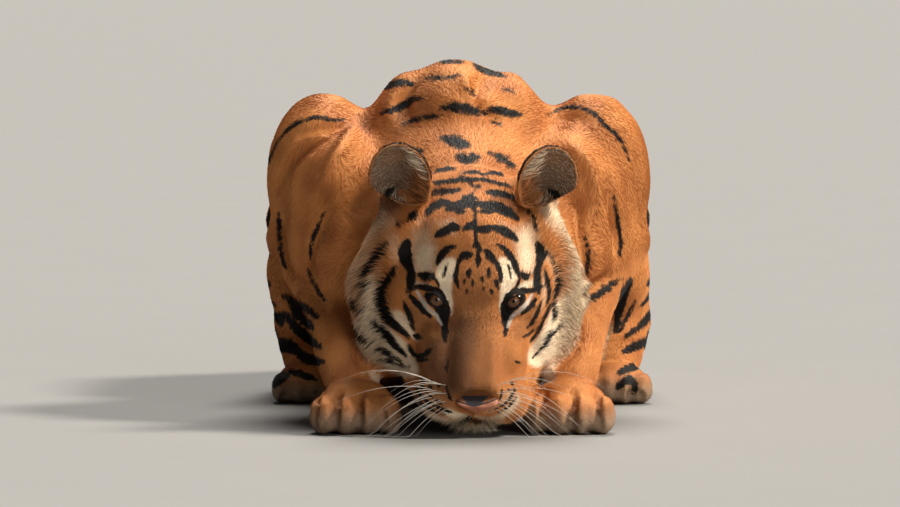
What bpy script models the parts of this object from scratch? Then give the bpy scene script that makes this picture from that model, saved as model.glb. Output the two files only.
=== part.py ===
"""A Bengal tiger crouched to drink, as a still, life-size display model.

The animal faces -Y and rests on z = 0. The flesh is built as named masses of muscle and bone,
fused into closed bodies, smoothed where the masses meet, and parted with thin cuts into the
parts a person would name. All sizes are in metres.
"""
import math

import bmesh
import bpy
from mathutils import Euler, Matrix, Vector

# Driving dimensions
GAP = 0.0004            # clearance between two parts that touch
MIDDLE = Vector((0.003, 1.069, 0))   # the model's middle, measured from between the front toes
FLOOR_SNAP = 0.0012     # a sole this close to the floor is made flat on it
SIDES = {"left": 1, "right": -1}

BODY_VOXEL, BODY_SMOOTHING, BODY_TRIANGLES = 0.009, 12, 1560
HEAD_VOXEL, HEAD_SMOOTHING, HEAD_TRIANGLES = 0.0045, 11, 1250
JAW_SMOOTHING, JAW_TRIANGLES = 6, 220
PAW_VOXEL, PAW_SMOOTHING, PAW_TRIANGLES = 0.004, 4, 200

# The skeleton's landmarks in the crouch, for the left side: across, back from the front toes, up
SHOULDER = Vector((0.150, 0.300, 0.255))
ELBOW = Vector((0.246, 0.460, 0.275))
MID_FOREARM = Vector((0.190, 0.325, 0.182))
WRIST = Vector((0.172, 0.195, 0.098))
HIP = Vector((0.106, 1.165, 0.342))
KNEE = Vector((0.238, 0.845, 0.290))
HOCK = Vector((0.272, 0.990, 0.112))
WITHERS = Vector((-0.004, 0.500, 0.448))
NAPE = Vector((0.010, 0.215, 0.290))
TAIL_ROOT = Vector((0.0, 1.295, 0.400))
TAIL_SPAN, TAIL_DROP = 0.900, 0.40    # how far back it reaches, and where it meets the floor
HIND_LEFT_OUT = 0.014   # the left hock is set this much further out

# The head has its own frame: forward along the palate, up through the crown
HEAD_ORIGIN = Vector((0.005, 0.255, 0.236))
HEAD_PITCH, HEAD_YAW, HEAD_ROLL = math.radians(41), math.radians(5), math.radians(1.2)

EYE_RADIUS = 0.0180
EYE_PLACE = (0.195, 0.0580, 0.1240)   # forward, out, up
SOCKET_PLACE, SOCKET_SIZE = (0.214, 0.0610, 0.1245), (0.015, 0.019, 0.0110)
EAR_HEIGHT, EAR_WIDTH, EAR_DEPTH, EAR_WALL = 0.055, 0.046, 0.036, 0.005
EAR_PLACE = (0.038, 0.112, 0.222)

# Each paw's centre: out from the middle, back from the front toes
PAWS = {
    "front_paw_left": (0.166, 0.098, 1.0),
    "front_paw_right": (-0.155, 0.098, 1.0),
    "hind_paw_left": (0.254, 0.715, 0.86),
    "hind_paw_right": (-0.242, 0.730, 0.86),
}
PAW_WIDTH, PAW_LENGTH, PAW_HEIGHT = 0.068, 0.100, 0.050

TAIL_STOPS = (0.0, 0.30, 0.64, 1.0)   # where the tail's three lengths meet

# Colour and roughness, by the first word of a part's name
FINISHES = {
    "ear": ((0.10, 0.08, 0.06, 1), 0.80),
    "eye": ((0.45, 0.26, 0.06, 1), 0.05),
    "nose": ((0.35, 0.13, 0.09, 1), 0.40),
    "tail": ((0.50, 0.24, 0.09, 1), 0.75),
    "coat": ((0.55, 0.24, 0.07, 1), 0.75),
}

# Masses of the trunk and neck: centre, half sizes, forward tilt in degrees
TRUNK = {
    "ribcage": ((0, 0.720, 0.285), (0.188, 0.330, 0.232), 0),
    "brisket": ((0, 0.400, 0.232), (0.150, 0.190, 0.184), 0),
    "throat": ((0, 0.300, 0.140), (0.100, 0.130, 0.105), 0),
    "keel": ((0, 0.350, 0.098), (0.150, 0.165, 0.082), 0),
    "withers": ((-0.004, 0.520, 0.424), (0.108, 0.230, 0.136), -8),
    "abdomen": ((0, 1.000, 0.264), (0.170, 0.280, 0.198), 0),
    "croup": ((0, 1.190, 0.345), (0.142, 0.180, 0.155), 6),
}

# Masses that each side has: centre, half sizes, forward tilt, lean to the side in degrees
PAIRED = {
    "shoulder_blade": ((0.100, 0.480, 0.416), (0.058, 0.130, 0.130), 0, 12),
    "neck_side": ((0.070, 0.335, 0.295), (0.088, 0.150, 0.140), 0, 0),
    "flank_fold": ((0.150, 0.760, 0.300), (0.062, 0.220, 0.135), 0, 0),
    "upper_arm": ((0.212, 0.505, 0.372), (0.095, 0.150, 0.138), 0, 0),
    "front_arm": ((0.182, 0.375, 0.320), (0.084, 0.105, 0.128), 0, 4),
    "buttock": ((0.098, 1.260, 0.285), (0.088, 0.100, 0.145), 0, 0),
    "thigh": ((0.165, 1.030, 0.300), (0.108, 0.215, 0.152), 8, 0),
    "calf": ((0.258, 0.900, 0.195), (0.062, 0.095, 0.090), -30, 0),
}

# Masses of the head, in its own frame: centre forward, out and up, then half sizes the same way
CROWN = {
    "brain_case": ((0.085, 0, 0.122), (0.115, 0.088, 0.084)),
    "forehead": ((0.140, 0, 0.134), (0.078, 0.076, 0.048)),
    "occiput": ((0.005, 0, 0.108), (0.090, 0.100, 0.086)),
    "upper_jaw": ((0.245, 0, 0.046), (0.098, 0.066, 0.050)),
}
FACE = {
    "cheek": ((0.130, 0.082, 0.050), (0.095, 0.060, 0.085)),
    "maxilla": ((0.225, 0.048, 0.060), (0.080, 0.038, 0.048)),
    "whisker_pad": ((0.300, 0.042, 0.032), (0.050, 0.042, 0.038)),
    "ear_root": ((-0.006, 0.094, 0.144), (0.050, 0.046, 0.043)),
}
# Rolls of the head, each a chain of points: forward, out, up and radius
ROLLS = {
    "bridge": ((0.186, 0.014, 0.114, 0.031), (0.322, 0.013, 0.066, 0.026)),
    "brow": ((0.178, 0.026, 0.148, 0.016), (0.176, 0.064, 0.144, 0.015)),
    "cheekbone": ((0.190, 0.072, 0.086, 0.026), (0.110, 0.100, 0.090, 0.038)),
    "lip": ((0.180, 0.076, 0.004, 0.042), (0.295, 0.048, 0.016, 0.034)),
    "ruff": ((0.045, 0.098, 0.125, 0.050), (0.090, 0.132, 0.050, 0.056), (0.142, 0.110, -0.024, 0.052)),
    "inner_ruff": ((0.110, 0.100, 0.070, 0.050), (0.165, 0.092, 0.000, 0.050)),
}


def clear_scene():
    for obj in list(bpy.data.objects):
        bpy.data.objects.remove(obj, do_unlink=True)


def collection(name):
    made = bpy.data.collections.new(name)
    bpy.context.scene.collection.children.link(made)
    return made


def give_finish(obj):
    colour, roughness = FINISHES.get(obj.name.split("_")[0], FINISHES["coat"])
    made = bpy.data.materials.new(obj.name + "_finish")
    made.use_nodes = True
    shader = made.node_tree.nodes["Principled BSDF"]
    shader.inputs["Base Color"].default_value = colour
    shader.inputs["Roughness"].default_value = roughness
    obj.data.materials.clear()
    obj.data.materials.append(made)


def mirrored(point, side):
    return Vector((point[0] * side, point[1], point[2]))


def hock_place(side):
    return mirrored(HOCK, side) + Vector((HIND_LEFT_OUT if side > 0 else 0, 0, 0))


# Shapes, added to a bmesh

def add_ellipsoid(bm, centre, radii, turn=(0, 0, 0), facets=32):
    """A ball stretched to three half sizes and turned by degrees about x, y and z."""
    angles = Euler([math.radians(a) for a in turn])
    place = Matrix.Translation(centre) @ angles.to_matrix().to_4x4() @ Matrix.Diagonal((*radii, 1))
    bmesh.ops.create_uvsphere(bm, u_segments=facets, v_segments=facets // 2, radius=1, matrix=place)


def add_limb(bm, start, start_radius, end, end_radius, facets=24):
    """A tapering limb with round ends."""
    start, end = Vector(start), Vector(end)
    along = end - start
    turn = along.to_track_quat("Z", "Y").to_matrix().to_4x4()
    for point, radius in ((start, start_radius), (end, end_radius)):
        bmesh.ops.create_uvsphere(
            bm, u_segments=facets, v_segments=facets // 2, radius=radius, matrix=Matrix.Translation(point)
        )
    bmesh.ops.create_cone(
        bm, cap_ends=True, segments=facets, radius1=start_radius, radius2=end_radius,
        depth=along.length, matrix=Matrix.Translation((start + end) / 2) @ turn,
    )


def head_frame():
    """Head coordinates (forward, left, up) to the body's."""
    forward = Vector((0, -1, 0))
    left = Vector((1, 0, 0))
    up = Vector((0, 0, 1))
    axes = Matrix((forward, left, up)).transposed().to_4x4()
    pitch = Matrix.Rotation(HEAD_PITCH, 4, "X")
    yaw = Matrix.Rotation(HEAD_YAW, 4, "Z")
    roll = Matrix.Rotation(HEAD_ROLL, 4, "Y")
    return Matrix.Translation(HEAD_ORIGIN) @ yaw @ roll @ pitch @ axes


# Bodies made from shapes

def new_object(name, mesh, group):
    obj = bpy.data.objects.new(name, mesh)
    group.objects.link(obj)
    return obj


def apply_modifiers(obj):
    graph = bpy.context.evaluated_depsgraph_get()
    mesh = bpy.data.meshes.new_from_object(obj.evaluated_get(graph))
    obj.modifiers.clear()
    obj.data = mesh


def drop_crumbs(obj):
    """Keeps only the largest of an object's loose bodies."""
    bm = bmesh.new()
    bm.from_mesh(obj.data)
    left = set(bm.verts)
    bodies = []
    while left:
        body, edge = set(), [left.pop()]
        while edge:
            vert = edge.pop()
            body.add(vert)
            for link in vert.link_edges:
                other = link.other_vert(vert)
                if other in left:
                    left.remove(other)
                    edge.append(other)
        bodies.append(body)
    bodies.sort(key=len)
    crumbs = [vert for body in bodies[:-1] for vert in body]
    bmesh.ops.delete(bm, geom=crumbs, context="VERTS")
    bm.to_mesh(obj.data)
    bm.free()


def press_to_floor(obj, snap):
    """Flattens whatever reaches the floor, so that the animal stands on small flats at one level."""
    for vert in obj.data.vertices:
        if vert.co.z < snap:
            vert.co.z = 0


def fused(name, bm, group, voxel, smoothing, triangles, hidden=None):
    """One closed body from overlapping shapes, smoothed where they meet.

    What hidden(point) picks out lies inside another part and is made coarser.
    """
    mesh = bpy.data.meshes.new(name)
    bm.to_mesh(mesh)
    bm.free()
    obj = new_object(name, mesh, group)
    remesh = obj.modifiers.new("Fuse", "REMESH")
    remesh.mode, remesh.voxel_size = "VOXEL", voxel
    smooth = obj.modifiers.new("Soften", "SMOOTH")
    smooth.factor, smooth.iterations = 0.5, smoothing
    apply_modifiers(obj)
    press_to_floor(obj, 0)
    thin = obj.modifiers.new("Thin", "DECIMATE")
    thin.ratio = triangles / (2 * len(obj.data.polygons))
    if hidden:
        thinned = obj.vertex_groups.new(name="thinned")
        for vert in obj.data.vertices:
            thinned.add([vert.index], 1.0 if hidden(vert.co) else 0.2, "REPLACE")
        thin.vertex_group, thin.vertex_group_factor = thinned.name, 1.0
    apply_modifiers(obj)
    press_to_floor(obj, FLOOR_SNAP)
    drop_crumbs(obj)
    return obj


def swollen(obj, group, by=GAP):
    """A copy pushed out along its normals, to cut room for the original with a gap all round."""
    copy = new_object(obj.name + "_room", obj.data.copy(), group)
    normals = [vert.normal.copy() for vert in copy.data.vertices]
    for vert, normal in zip(copy.data.vertices, normals):
        vert.co += normal * by
    return copy


def boolean(obj, operation, other):
    step = obj.modifiers.new(operation.title(), "BOOLEAN")
    step.operation, step.object = operation, other
    apply_modifiers(obj)
    drop_crumbs(obj)


def cut_room(obj, others, group, gap=GAP):
    """Takes the others, with a gap, out of obj."""
    for other in others:
        room = swollen(other, group, gap)
        boolean(obj, "DIFFERENCE", room)
        bpy.data.objects.remove(room, do_unlink=True)


def part_off(name, rest, cutter, group, spare):
    """Parts the share of rest that lies in cutter from it, as an object of its own."""
    piece = new_object(name, rest.data.copy(), group)
    boolean(piece, "INTERSECT", cutter)
    room = swollen(cutter, spare)
    boolean(rest, "DIFFERENCE", room)
    for tool in (room, cutter):
        bpy.data.objects.remove(tool, do_unlink=True)
    return piece


def cutter_from(add, spare, *sizes):
    """A cutting tool: the hull round one shape."""
    shape, hull = bmesh.new(), bmesh.new()
    add(shape, *sizes, facets=8)
    for vert in shape.verts:
        hull.verts.new(vert.co)
    shape.free()
    bmesh.ops.convex_hull(hull, input=hull.verts[:])
    inside = [vert for vert in hull.verts if not vert.link_faces]
    bmesh.ops.delete(hull, geom=inside, context="VERTS")
    mesh = bpy.data.meshes.new("cutter")
    hull.to_mesh(mesh)
    hull.free()
    return new_object("cutter", mesh, spare)


# The animal

def body_masses():
    """Neck, trunk and legs as overlapping shapes."""
    bm = bmesh.new()
    for centre, radii, tilt in TRUNK.values():
        add_ellipsoid(bm, centre, radii, (tilt, 0, 0))
    add_limb(bm, (0, 0.58, 0.415), 0.112, (0, 1.14, 0.400), 0.112)
    add_limb(bm, NAPE, 0.118, WITHERS - Vector((0, 0.04, 0.075)), 0.158)
    add_limb(bm, NAPE + Vector((0, 0, 0.035)), 0.080, WITHERS + Vector((0, 0, 0.020)), 0.090)
    add_limb(bm, (0.014, 0.235, 0.190), 0.090, (0, 0.400, 0.215), 0.135)
    add_limb(bm, TAIL_ROOT - Vector((0, 0.06, 0.015)), 0.095, tail_point(0.10), 0.053)
    for side in SIDES.values():
        for centre, radii, tilt, lean in PAIRED.values():
            add_ellipsoid(bm, mirrored(centre, side), radii, (tilt, -lean * side, 0))
        add_front_leg(bm, side)
        add_hind_leg(bm, side)
    return bm


def add_front_leg(bm, side):
    shoulder, elbow, wrist = (mirrored(p, side) for p in (SHOULDER, ELBOW, WRIST))
    add_limb(bm, shoulder, 0.082, elbow, 0.062)
    add_limb(bm, mirrored((0.188, 0.540, 0.350), side), 0.096, mirrored((0.120, 0.800, 0.330), side), 0.085)
    middle = mirrored(MID_FOREARM, side)
    add_limb(bm, elbow, 0.060, middle, 0.055)
    add_limb(bm, middle, 0.055, wrist, 0.049)
    out, back, _ = PAWS["front_paw_left" if side > 0 else "front_paw_right"]
    add_limb(bm, wrist, 0.050, (out, back + 0.02, 0.050), 0.045)


def add_hind_leg(bm, side):
    hip, knee, hock = mirrored(HIP, side), mirrored(KNEE, side), hock_place(side)
    add_limb(bm, hip, 0.140, knee, 0.082)
    add_limb(bm, knee, 0.074, hock, 0.040)
    add_limb(bm, hock, 0.038, hock + Vector((0, 0.045, 0.020)), 0.030)
    out, back, _ = PAWS["hind_paw_left" if side > 0 else "hind_paw_right"]
    add_limb(bm, hock, 0.040, (out, back + 0.02, 0.046), 0.042)


def paw_masses(out, back, scale):
    """A broad pad with four toes, the middle two set forward, and a fifth pad's bulk behind."""
    bm = bmesh.new()
    width, length, height = (scale * s for s in (PAW_WIDTH, PAW_LENGTH, PAW_HEIGHT))
    centre = Vector((out, back, 0))
    add_ellipsoid(bm, centre + Vector((0, 0.010, height * 0.72)), (width * 0.90, length * 0.80, height * 0.92))
    for toe in range(4):
        step = toe - 1.5
        forward = 0.72 - 0.09 * abs(step)
        toe_centre = centre + Vector((step * width * 0.50, -length * forward + 0.012, height * 0.56))
        add_ellipsoid(bm, toe_centre, (width * 0.285, length * 0.42, height * 0.66), (-14, 0, step * -7))
    return bm


def head_masses():
    bm = bmesh.new()
    for centre, radii in CROWN.values():
        add_ellipsoid(bm, centre, radii)
    for side in SIDES.values():
        for (forward, out, up), radii in FACE.values():
            add_ellipsoid(bm, (forward, out * side, up), radii)
        for chain in ROLLS.values():
            for (*start, start_radius), (*end, end_radius) in zip(chain, chain[1:]):
                start[1], end[1] = start[1] * side, end[1] * side
                add_limb(bm, start, start_radius, end, end_radius)
    add_limb(bm, (0.330, 0, 0.056), 0.026, (0.330, 0, 0.026), 0.022)
    bm.transform(head_frame())
    return bm


def in_neck(point):
    """Whether a point of the head lies well inside the neck."""
    along = WITHERS - NAPE
    reach = max(0, (point - NAPE).dot(along) / along.length_squared)
    return (point - NAPE - along * reach).length < 0.112


def jaw_masses():
    bm = bmesh.new()
    add_limb(bm, (0.130, 0, 0.010), 0.066, (0.280, 0, 0.000), 0.038)
    add_ellipsoid(bm, (0.302, 0, -0.006), (0.032, 0.040, 0.024))
    bm.transform(head_frame())
    return bm


def ear(name, side, group):
    """A round cup, open to the front, with a wall of even thickness."""
    bm = bmesh.new()
    bmesh.ops.create_uvsphere(bm, u_segments=14, v_segments=8, radius=1)
    front = [vert for vert in bm.verts if vert.co.x > 0.15]
    bmesh.ops.delete(bm, geom=front, context="VERTS")
    shape = Matrix.Diagonal((EAR_DEPTH, EAR_WIDTH, EAR_HEIGHT, 1))
    lean = Euler((math.radians(24 * -side), math.radians(-34), math.radians(16 * side))).to_matrix().to_4x4()
    place = Matrix.Translation((EAR_PLACE[0], EAR_PLACE[1] * side, EAR_PLACE[2]))
    bm.transform(head_frame() @ place @ lean @ shape)
    mesh = bpy.data.meshes.new(name)
    bm.to_mesh(mesh)
    bm.free()
    obj = new_object(name, mesh, group)
    wall = obj.modifiers.new("Wall", "SOLIDIFY")
    wall.thickness, wall.offset = EAR_WALL, 0
    apply_modifiers(obj)
    return obj


def ball(name, centre, radii, group, frame):
    bm = bmesh.new()
    place = Matrix.Translation(centre) @ Matrix.Diagonal((*radii, 1))
    bmesh.ops.create_uvsphere(bm, u_segments=12, v_segments=7, radius=1, matrix=frame @ place)
    mesh = bpy.data.meshes.new(name)
    bm.to_mesh(mesh)
    bm.free()
    return new_object(name, mesh, group)


def tail_point(t):
    """The tail's centreline: down behind the rump, then back along the floor in an easy curve."""
    back = TAIL_SPAN * t
    left = max(0, 1 - back / TAIL_DROP)
    fall = left ** 2 * (2.1 - 1.1 * left)
    height = TAIL_ROOT.z * fall + (tail_radius(t) - 0.0015) * (1 - fall)
    across = 0.10 * math.sin(math.pi * 1.15 * t) * t
    return Vector((across, TAIL_ROOT.y + back, height))


def tail_radius(t):
    tip = math.sqrt(1 - max(0, t - 0.94) ** 2 / 0.0640 ** 2)
    return (0.044 - 0.017 * t) * tip


def tail_length(name, start, stop, group):
    """A stretch of the tail as a bevelled curve, its short end steps squaring it to its neighbours."""
    curve = bpy.data.curves.new(name, "CURVE")
    curve.dimensions, curve.bevel_depth, curve.bevel_resolution = "3D", 1.0, 2
    curve.use_fill_caps = True
    steps, end_step = 6, 0.004
    stops = [start, *(start + end_step + (stop - start - 2 * end_step) * i / steps for i in range(steps + 1)), stop]
    line = curve.splines.new("POLY")
    line.points.add(len(stops) - 1)
    for point, t in zip(line.points, stops):
        point.co = (*tail_point(t), 1)
        point.radius = tail_radius(t)
    made = new_object(name, curve, group)
    graph = bpy.context.evaluated_depsgraph_get()
    mesh = bpy.data.meshes.new_from_object(made.evaluated_get(graph))
    bpy.data.objects.remove(made, do_unlink=True)
    bm = bmesh.new()
    bm.from_mesh(mesh)
    bmesh.ops.remove_doubles(bm, verts=bm.verts[:], dist=0.0001)
    bm.to_mesh(mesh)
    bm.free()
    obj = new_object(name, mesh, group)
    press_to_floor(obj, 0.0025)
    return obj


def add_shank_room(bm, knee, hock, side, facets):
    add_limb(bm, knee, 0.100, hock - Vector((0, 0.02, 0.05)), 0.115, facets)
    add_limb(bm, hock, 0.080, hock + Vector((-0.02 * side, -0.26, -0.07)), 0.075, facets)


def part_limbs(rest, group, spare):
    """Takes the legs off the fused body, lowest parts first."""
    for name, side in SIDES.items():
        elbow, wrist = mirrored(ELBOW, side), mirrored(WRIST, side)
        knee, hock = mirrored(KNEE, side), hock_place(side)
        below = Vector((0, 0.01, -0.055))
        forearm = cutter_from(add_limb, spare, elbow + below, 0.075, wrist - Vector((0, 0.08, 0.07)), 0.115)
        part_off("forearm_" + name, rest, forearm, group, spare)
        arm = cutter_from(add_ellipsoid, spare, (0.272 * side, 0.450, 0.370), (0.135, 0.260, 0.220), (0, 0, 0))
        part_off("upper_arm_" + name, rest, arm, group, spare)
        outside = Vector((0.04 * side, 0.02, -0.03))
        shank = cutter_from(add_shank_room, spare, knee + outside, hock, side)
        part_off("shank_" + name, rest, shank, group, spare)
        thigh = cutter_from(add_ellipsoid, spare, (0.227 * side, 1.070, 0.290), (0.168, 0.360, 0.240), (0, 0, 0))
        part_off("thigh_" + name, rest, thigh, group, spare)


def box_cutter(spare, low, high):
    bm = bmesh.new()
    size = Vector(high) - Vector(low)
    middle = (Vector(high) + Vector(low)) / 2
    bmesh.ops.create_cube(bm, size=1, matrix=Matrix.Translation(middle) @ Matrix.Diagonal((*size, 1)))
    mesh = bpy.data.meshes.new("cutter")
    bm.to_mesh(mesh)
    bm.free()
    return new_object("cutter", mesh, spare)


def main():
    clear_scene()
    tiger = collection("bengal_tiger")
    spare = collection("cutters")
    frame = head_frame()

    head = fused("head", head_masses(), tiger, HEAD_VOXEL, HEAD_SMOOTHING, HEAD_TRIANGLES, in_neck)
    jaw = fused("lower_jaw", jaw_masses(), tiger, HEAD_VOXEL, JAW_SMOOTHING, JAW_TRIANGLES, in_neck)
    nose = ball("nose", (0.346, 0, 0.061), (0.018, 0.033, 0.018), tiger, frame)
    eyes = [
        ball("eye_" + name, (EYE_PLACE[0], EYE_PLACE[1] * side, EYE_PLACE[2]),
             (EYE_RADIUS,) * 3, tiger, frame)
        for name, side in SIDES.items()
    ]
    ears = [ear("ear_" + name, side, tiger) for name, side in SIDES.items()]
    rest = fused("trunk", body_masses(), tiger, BODY_VOXEL, BODY_SMOOTHING, BODY_TRIANGLES)
    paws = []
    for name, place in PAWS.items():
        paw = fused(name, paw_masses(*place), tiger, PAW_VOXEL, PAW_SMOOTHING, PAW_TRIANGLES)
        paws.append(paw)
    for side in SIDES.values():
        place = (SOCKET_PLACE[0], SOCKET_PLACE[1] * side, SOCKET_PLACE[2])
        socket = ball("socket", place, SOCKET_SIZE, spare, frame)
        boolean(head, "DIFFERENCE", socket)
        bpy.data.objects.remove(socket, do_unlink=True)
    cut_room(head, [nose, *eyes, *paws[:2]], spare)
    cut_room(jaw, [head, nose], spare, 3 * GAP)
    for piece in ears:
        cut_room(piece, [head], spare)

    names = ("tail_base", "tail_middle", "tail_tip")
    tail = [
        tail_length(name, start, stop - 0.0005, tiger)
        for name, start, stop in zip(names, TAIL_STOPS, TAIL_STOPS[1:])
    ]
    cut_room(rest, [head, jaw], spare, 3 * GAP)
    cut_room(head, [rest], spare)
    cut_room(rest, [*paws, tail[0]], spare)
    part_limbs(rest, tiger, spare)
    neck = box_cutter(spare, (-0.5, -0.2, -0.2), (0.5, 0.365, 0.8))
    part_off("neck", rest, neck, tiger, spare)
    chest = box_cutter(spare, (-0.5, -0.2, -0.2), (0.5, 0.74, 0.8))
    part_off("chest", rest, chest, tiger, spare)
    rump = box_cutter(spare, (-0.5, 1.13, -0.2), (0.5, 2.2, 0.8))
    part_off("rump", rest, rump, tiger, spare)
    rest.name = "belly"

    for obj in tiger.objects:
        obj.data.transform(Matrix.Translation(-MIDDLE))
        obj.data.shade_smooth()
        give_finish(obj)


main()
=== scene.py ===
"""Dresses the crouching tiger: skin, markings, coat, ears, eyes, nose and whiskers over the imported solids.

Metres, +Z up. The tiger faces -Y and its left side is +X. Markings are drawn in millimetres, mostly on a
sighting plane: what an onlooker in front of the tiger sees, measured from the point between its eyes.
"""

import math

import bmesh
import bpy
import numpy as np
from mathutils import Matrix, Vector
from mathutils.bvhtree import BVHTree


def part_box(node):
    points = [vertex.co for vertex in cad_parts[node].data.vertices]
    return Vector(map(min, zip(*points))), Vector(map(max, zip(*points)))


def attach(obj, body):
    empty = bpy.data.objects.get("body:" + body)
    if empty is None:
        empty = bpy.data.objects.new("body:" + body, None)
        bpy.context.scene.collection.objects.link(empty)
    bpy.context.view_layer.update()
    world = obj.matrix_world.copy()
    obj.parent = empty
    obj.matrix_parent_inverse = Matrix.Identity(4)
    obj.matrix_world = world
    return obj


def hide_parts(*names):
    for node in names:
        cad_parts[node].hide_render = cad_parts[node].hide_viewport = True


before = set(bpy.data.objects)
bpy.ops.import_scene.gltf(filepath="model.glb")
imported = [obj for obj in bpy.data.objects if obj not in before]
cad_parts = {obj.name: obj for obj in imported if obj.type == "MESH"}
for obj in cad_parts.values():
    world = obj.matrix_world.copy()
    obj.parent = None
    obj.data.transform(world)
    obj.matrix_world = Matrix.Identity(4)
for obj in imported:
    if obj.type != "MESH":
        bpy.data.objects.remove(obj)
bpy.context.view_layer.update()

SIDES = {"left": 1, "right": -1}
PAWS = [f"{row}_paw_{side}" for row in ("front", "hind") for side in SIDES]
HEAD_PARTS = ["head", "lower_jaw"]
LIMB_PARTS = [f"{part}_{side}" for part in ("upper_arm", "forearm", "thigh", "shank") for side in SIDES]
TRUNK = ["neck", "chest", "belly", "rump"]
TAIL = ["tail_base", "tail_middle", "tail_tip"]
BODY_PARTS = [*TRUNK, *TAIL, *LIMB_PARTS]
FLESH = HEAD_PARTS + BODY_PARTS + PAWS
MM = 0.001
FAR = 12.0     # millimetres outside a mark beyond which its field tells nothing more
FLOOR_GAP = 0.0003


def middle(node):
    low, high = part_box(node)
    return (low + high) / 2


# Where the tiger stands and how its head lies

EYES = {side: middle("eye_" + side) for side in SIDES}
EYE_RADIUS = 0.018
NOSE = middle("nose")
BROW = (EYES["left"] + EYES["right"]) / 2
HEAD_LEFT = (EYES["left"] - EYES["right"]).normalized()
NOSE_DROP = math.radians(22.65)
to_nose = NOSE - BROW
to_nose = (to_nose - to_nose.dot(HEAD_LEFT) * HEAD_LEFT).normalized()
HEAD_FORWARD = to_nose * math.cos(NOSE_DROP) + to_nose.cross(HEAD_LEFT) * math.sin(NOSE_DROP)
HEAD_UP = HEAD_FORWARD.cross(HEAD_LEFT)
HEAD_ORIGIN = BROW - HEAD_FORWARD * 0.195 - HEAD_UP * 0.124

TOES_AT = -1.069
LOOK_AT = Vector((-0.0164, TOES_AT, 0.2739))
LOOK_FROM = 8.5
SENSOR, LENS = 36, 227.8     # millimetres
LOOK_RISE = math.atan(0.0465)
LOOK_FORWARD = Vector((0, math.cos(LOOK_RISE), -math.sin(LOOK_RISE)))
LOOK_UP = Vector((0, math.sin(LOOK_RISE), math.cos(LOOK_RISE)))
ONLOOKER = LOOK_AT - LOOK_FROM * LOOK_FORWARD


def on_sighting_plane(points):
    """Where points appear on the sighting plane, in metres across and up."""
    away = np.asarray(points, float).reshape(-1, 3) - np.array(ONLOOKER)
    depth = away @ np.array(LOOK_FORWARD)
    return np.stack([away[:, 0], away @ np.array(LOOK_UP)], 1) * (LOOK_FROM / depth)[:, None]


BROW_SIGHT = on_sighting_plane(BROW)[0]


# Meshes

def placed(name, data):
    """A new object in the scene."""
    obj = bpy.data.objects.new(name, data)
    bpy.context.scene.collection.objects.link(obj)
    return obj


def finished(bm, name):
    """The mesh that a bmesh has built up."""
    mesh = bpy.data.meshes.new(name)
    bm.to_mesh(mesh)
    bm.free()
    return mesh


def faces_in_order(mesh):
    """The mesh with its faces sorted, for a sphere's faces come in another order on each run."""
    faces = []
    for face in mesh.polygons:
        corners = list(face.vertices)
        first = corners.index(min(corners))
        faces.append(corners[first:] + corners[:first])
    points = read(mesh.vertices, "co", 3).tolist()
    mesh.clear_geometry()
    mesh.from_pydata(points, [], sorted(faces))
    return mesh


def worked(mesh, *steps):
    """The mesh after a row of modifiers, each given as its type and its settings."""
    obj = placed("work", mesh)
    for kind, settings in steps:
        modifier = obj.modifiers.new(kind, kind)
        for key, value in settings.items():
            setattr(modifier, key, value)
    graph = bpy.context.evaluated_depsgraph_get()
    made = bpy.data.meshes.new_from_object(obj.evaluated_get(graph))
    bpy.data.objects.remove(obj, do_unlink=True)
    bpy.data.meshes.remove(mesh)
    return made


def merged(meshes):
    joined = bmesh.new()
    for mesh in meshes:
        joined.from_mesh(mesh)
        bpy.data.meshes.remove(mesh)
    return finished(joined, "merged")


def mesh_of_node(node, swell):
    """The solid of one node, swollen a little so that the thin cuts close."""
    bm = bmesh.new()
    bm.from_mesh(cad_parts[node].data)
    bmesh.ops.remove_doubles(bm, verts=bm.verts[:], dist=0.00002)
    bm.normal_update()
    for vert, push in [(vert, vert.normal * swell) for vert in bm.verts]:
        vert.co += push
    return finished(bm, node)


def mesh_of_nodes(nodes, swell=0.001):
    return merged([mesh_of_node(node, swell) for node in nodes])


def ball_mesh(centre, radius):
    bm = bmesh.new()
    bmesh.ops.create_icosphere(bm, subdivisions=4, radius=radius, matrix=Matrix.Translation(centre))
    return finished(bm, "ball")


def remesh(size):
    return "REMESH", {"mode": "VOXEL", "voxel_size": size}


def smoothing(rounds):
    return "SMOOTH", {"iterations": rounds, "factor": 0.5}


def mesh_from(name, points, faces, smooth=True):
    """A mesh from arrays of points and of equal-sided faces."""
    mesh = bpy.data.meshes.new(name)
    sides = faces.shape[1]
    mesh.vertices.add(len(points))
    mesh.vertices.foreach_set("co", np.ascontiguousarray(points, np.float32).ravel())
    mesh.loops.add(faces.size)
    mesh.loops.foreach_set("vertex_index", np.ascontiguousarray(faces, np.int32).ravel())
    mesh.polygons.add(len(faces))
    mesh.polygons.foreach_set("loop_start", np.arange(0, faces.size, sides, dtype=np.int32))
    mesh.update(calc_edges=True)
    if smooth:
        mesh.shade_smooth()
    else:
        mesh.shade_flat()
    return mesh


def add_piece(name, mesh, material, nodes=()):
    obj = placed(name, mesh)
    mesh.materials.clear()
    mesh.materials.append(material)
    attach(obj, "root")
    if nodes:
        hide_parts(*nodes)


def set_field(mesh, name, values):
    """Stores an array on the mesh's points, as numbers or as vectors."""
    values = np.asarray(values, np.float32)
    kind, key = ("FLOAT", "value") if values.ndim == 1 else ("FLOAT_VECTOR", "vector")
    attribute = mesh.attributes.new(name, kind, "POINT")
    attribute.data.foreach_set(key, values.ravel())


def read(mesh_part, key, width, kind=np.float64):
    values = np.zeros(len(mesh_part) * width, kind)
    mesh_part.foreach_get(key, values)
    return values.reshape(-1, width) if width > 1 else values


def unit(vectors):
    return vectors / np.maximum(np.linalg.norm(vectors, axis=-1, keepdims=True), 1e-9)


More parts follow.
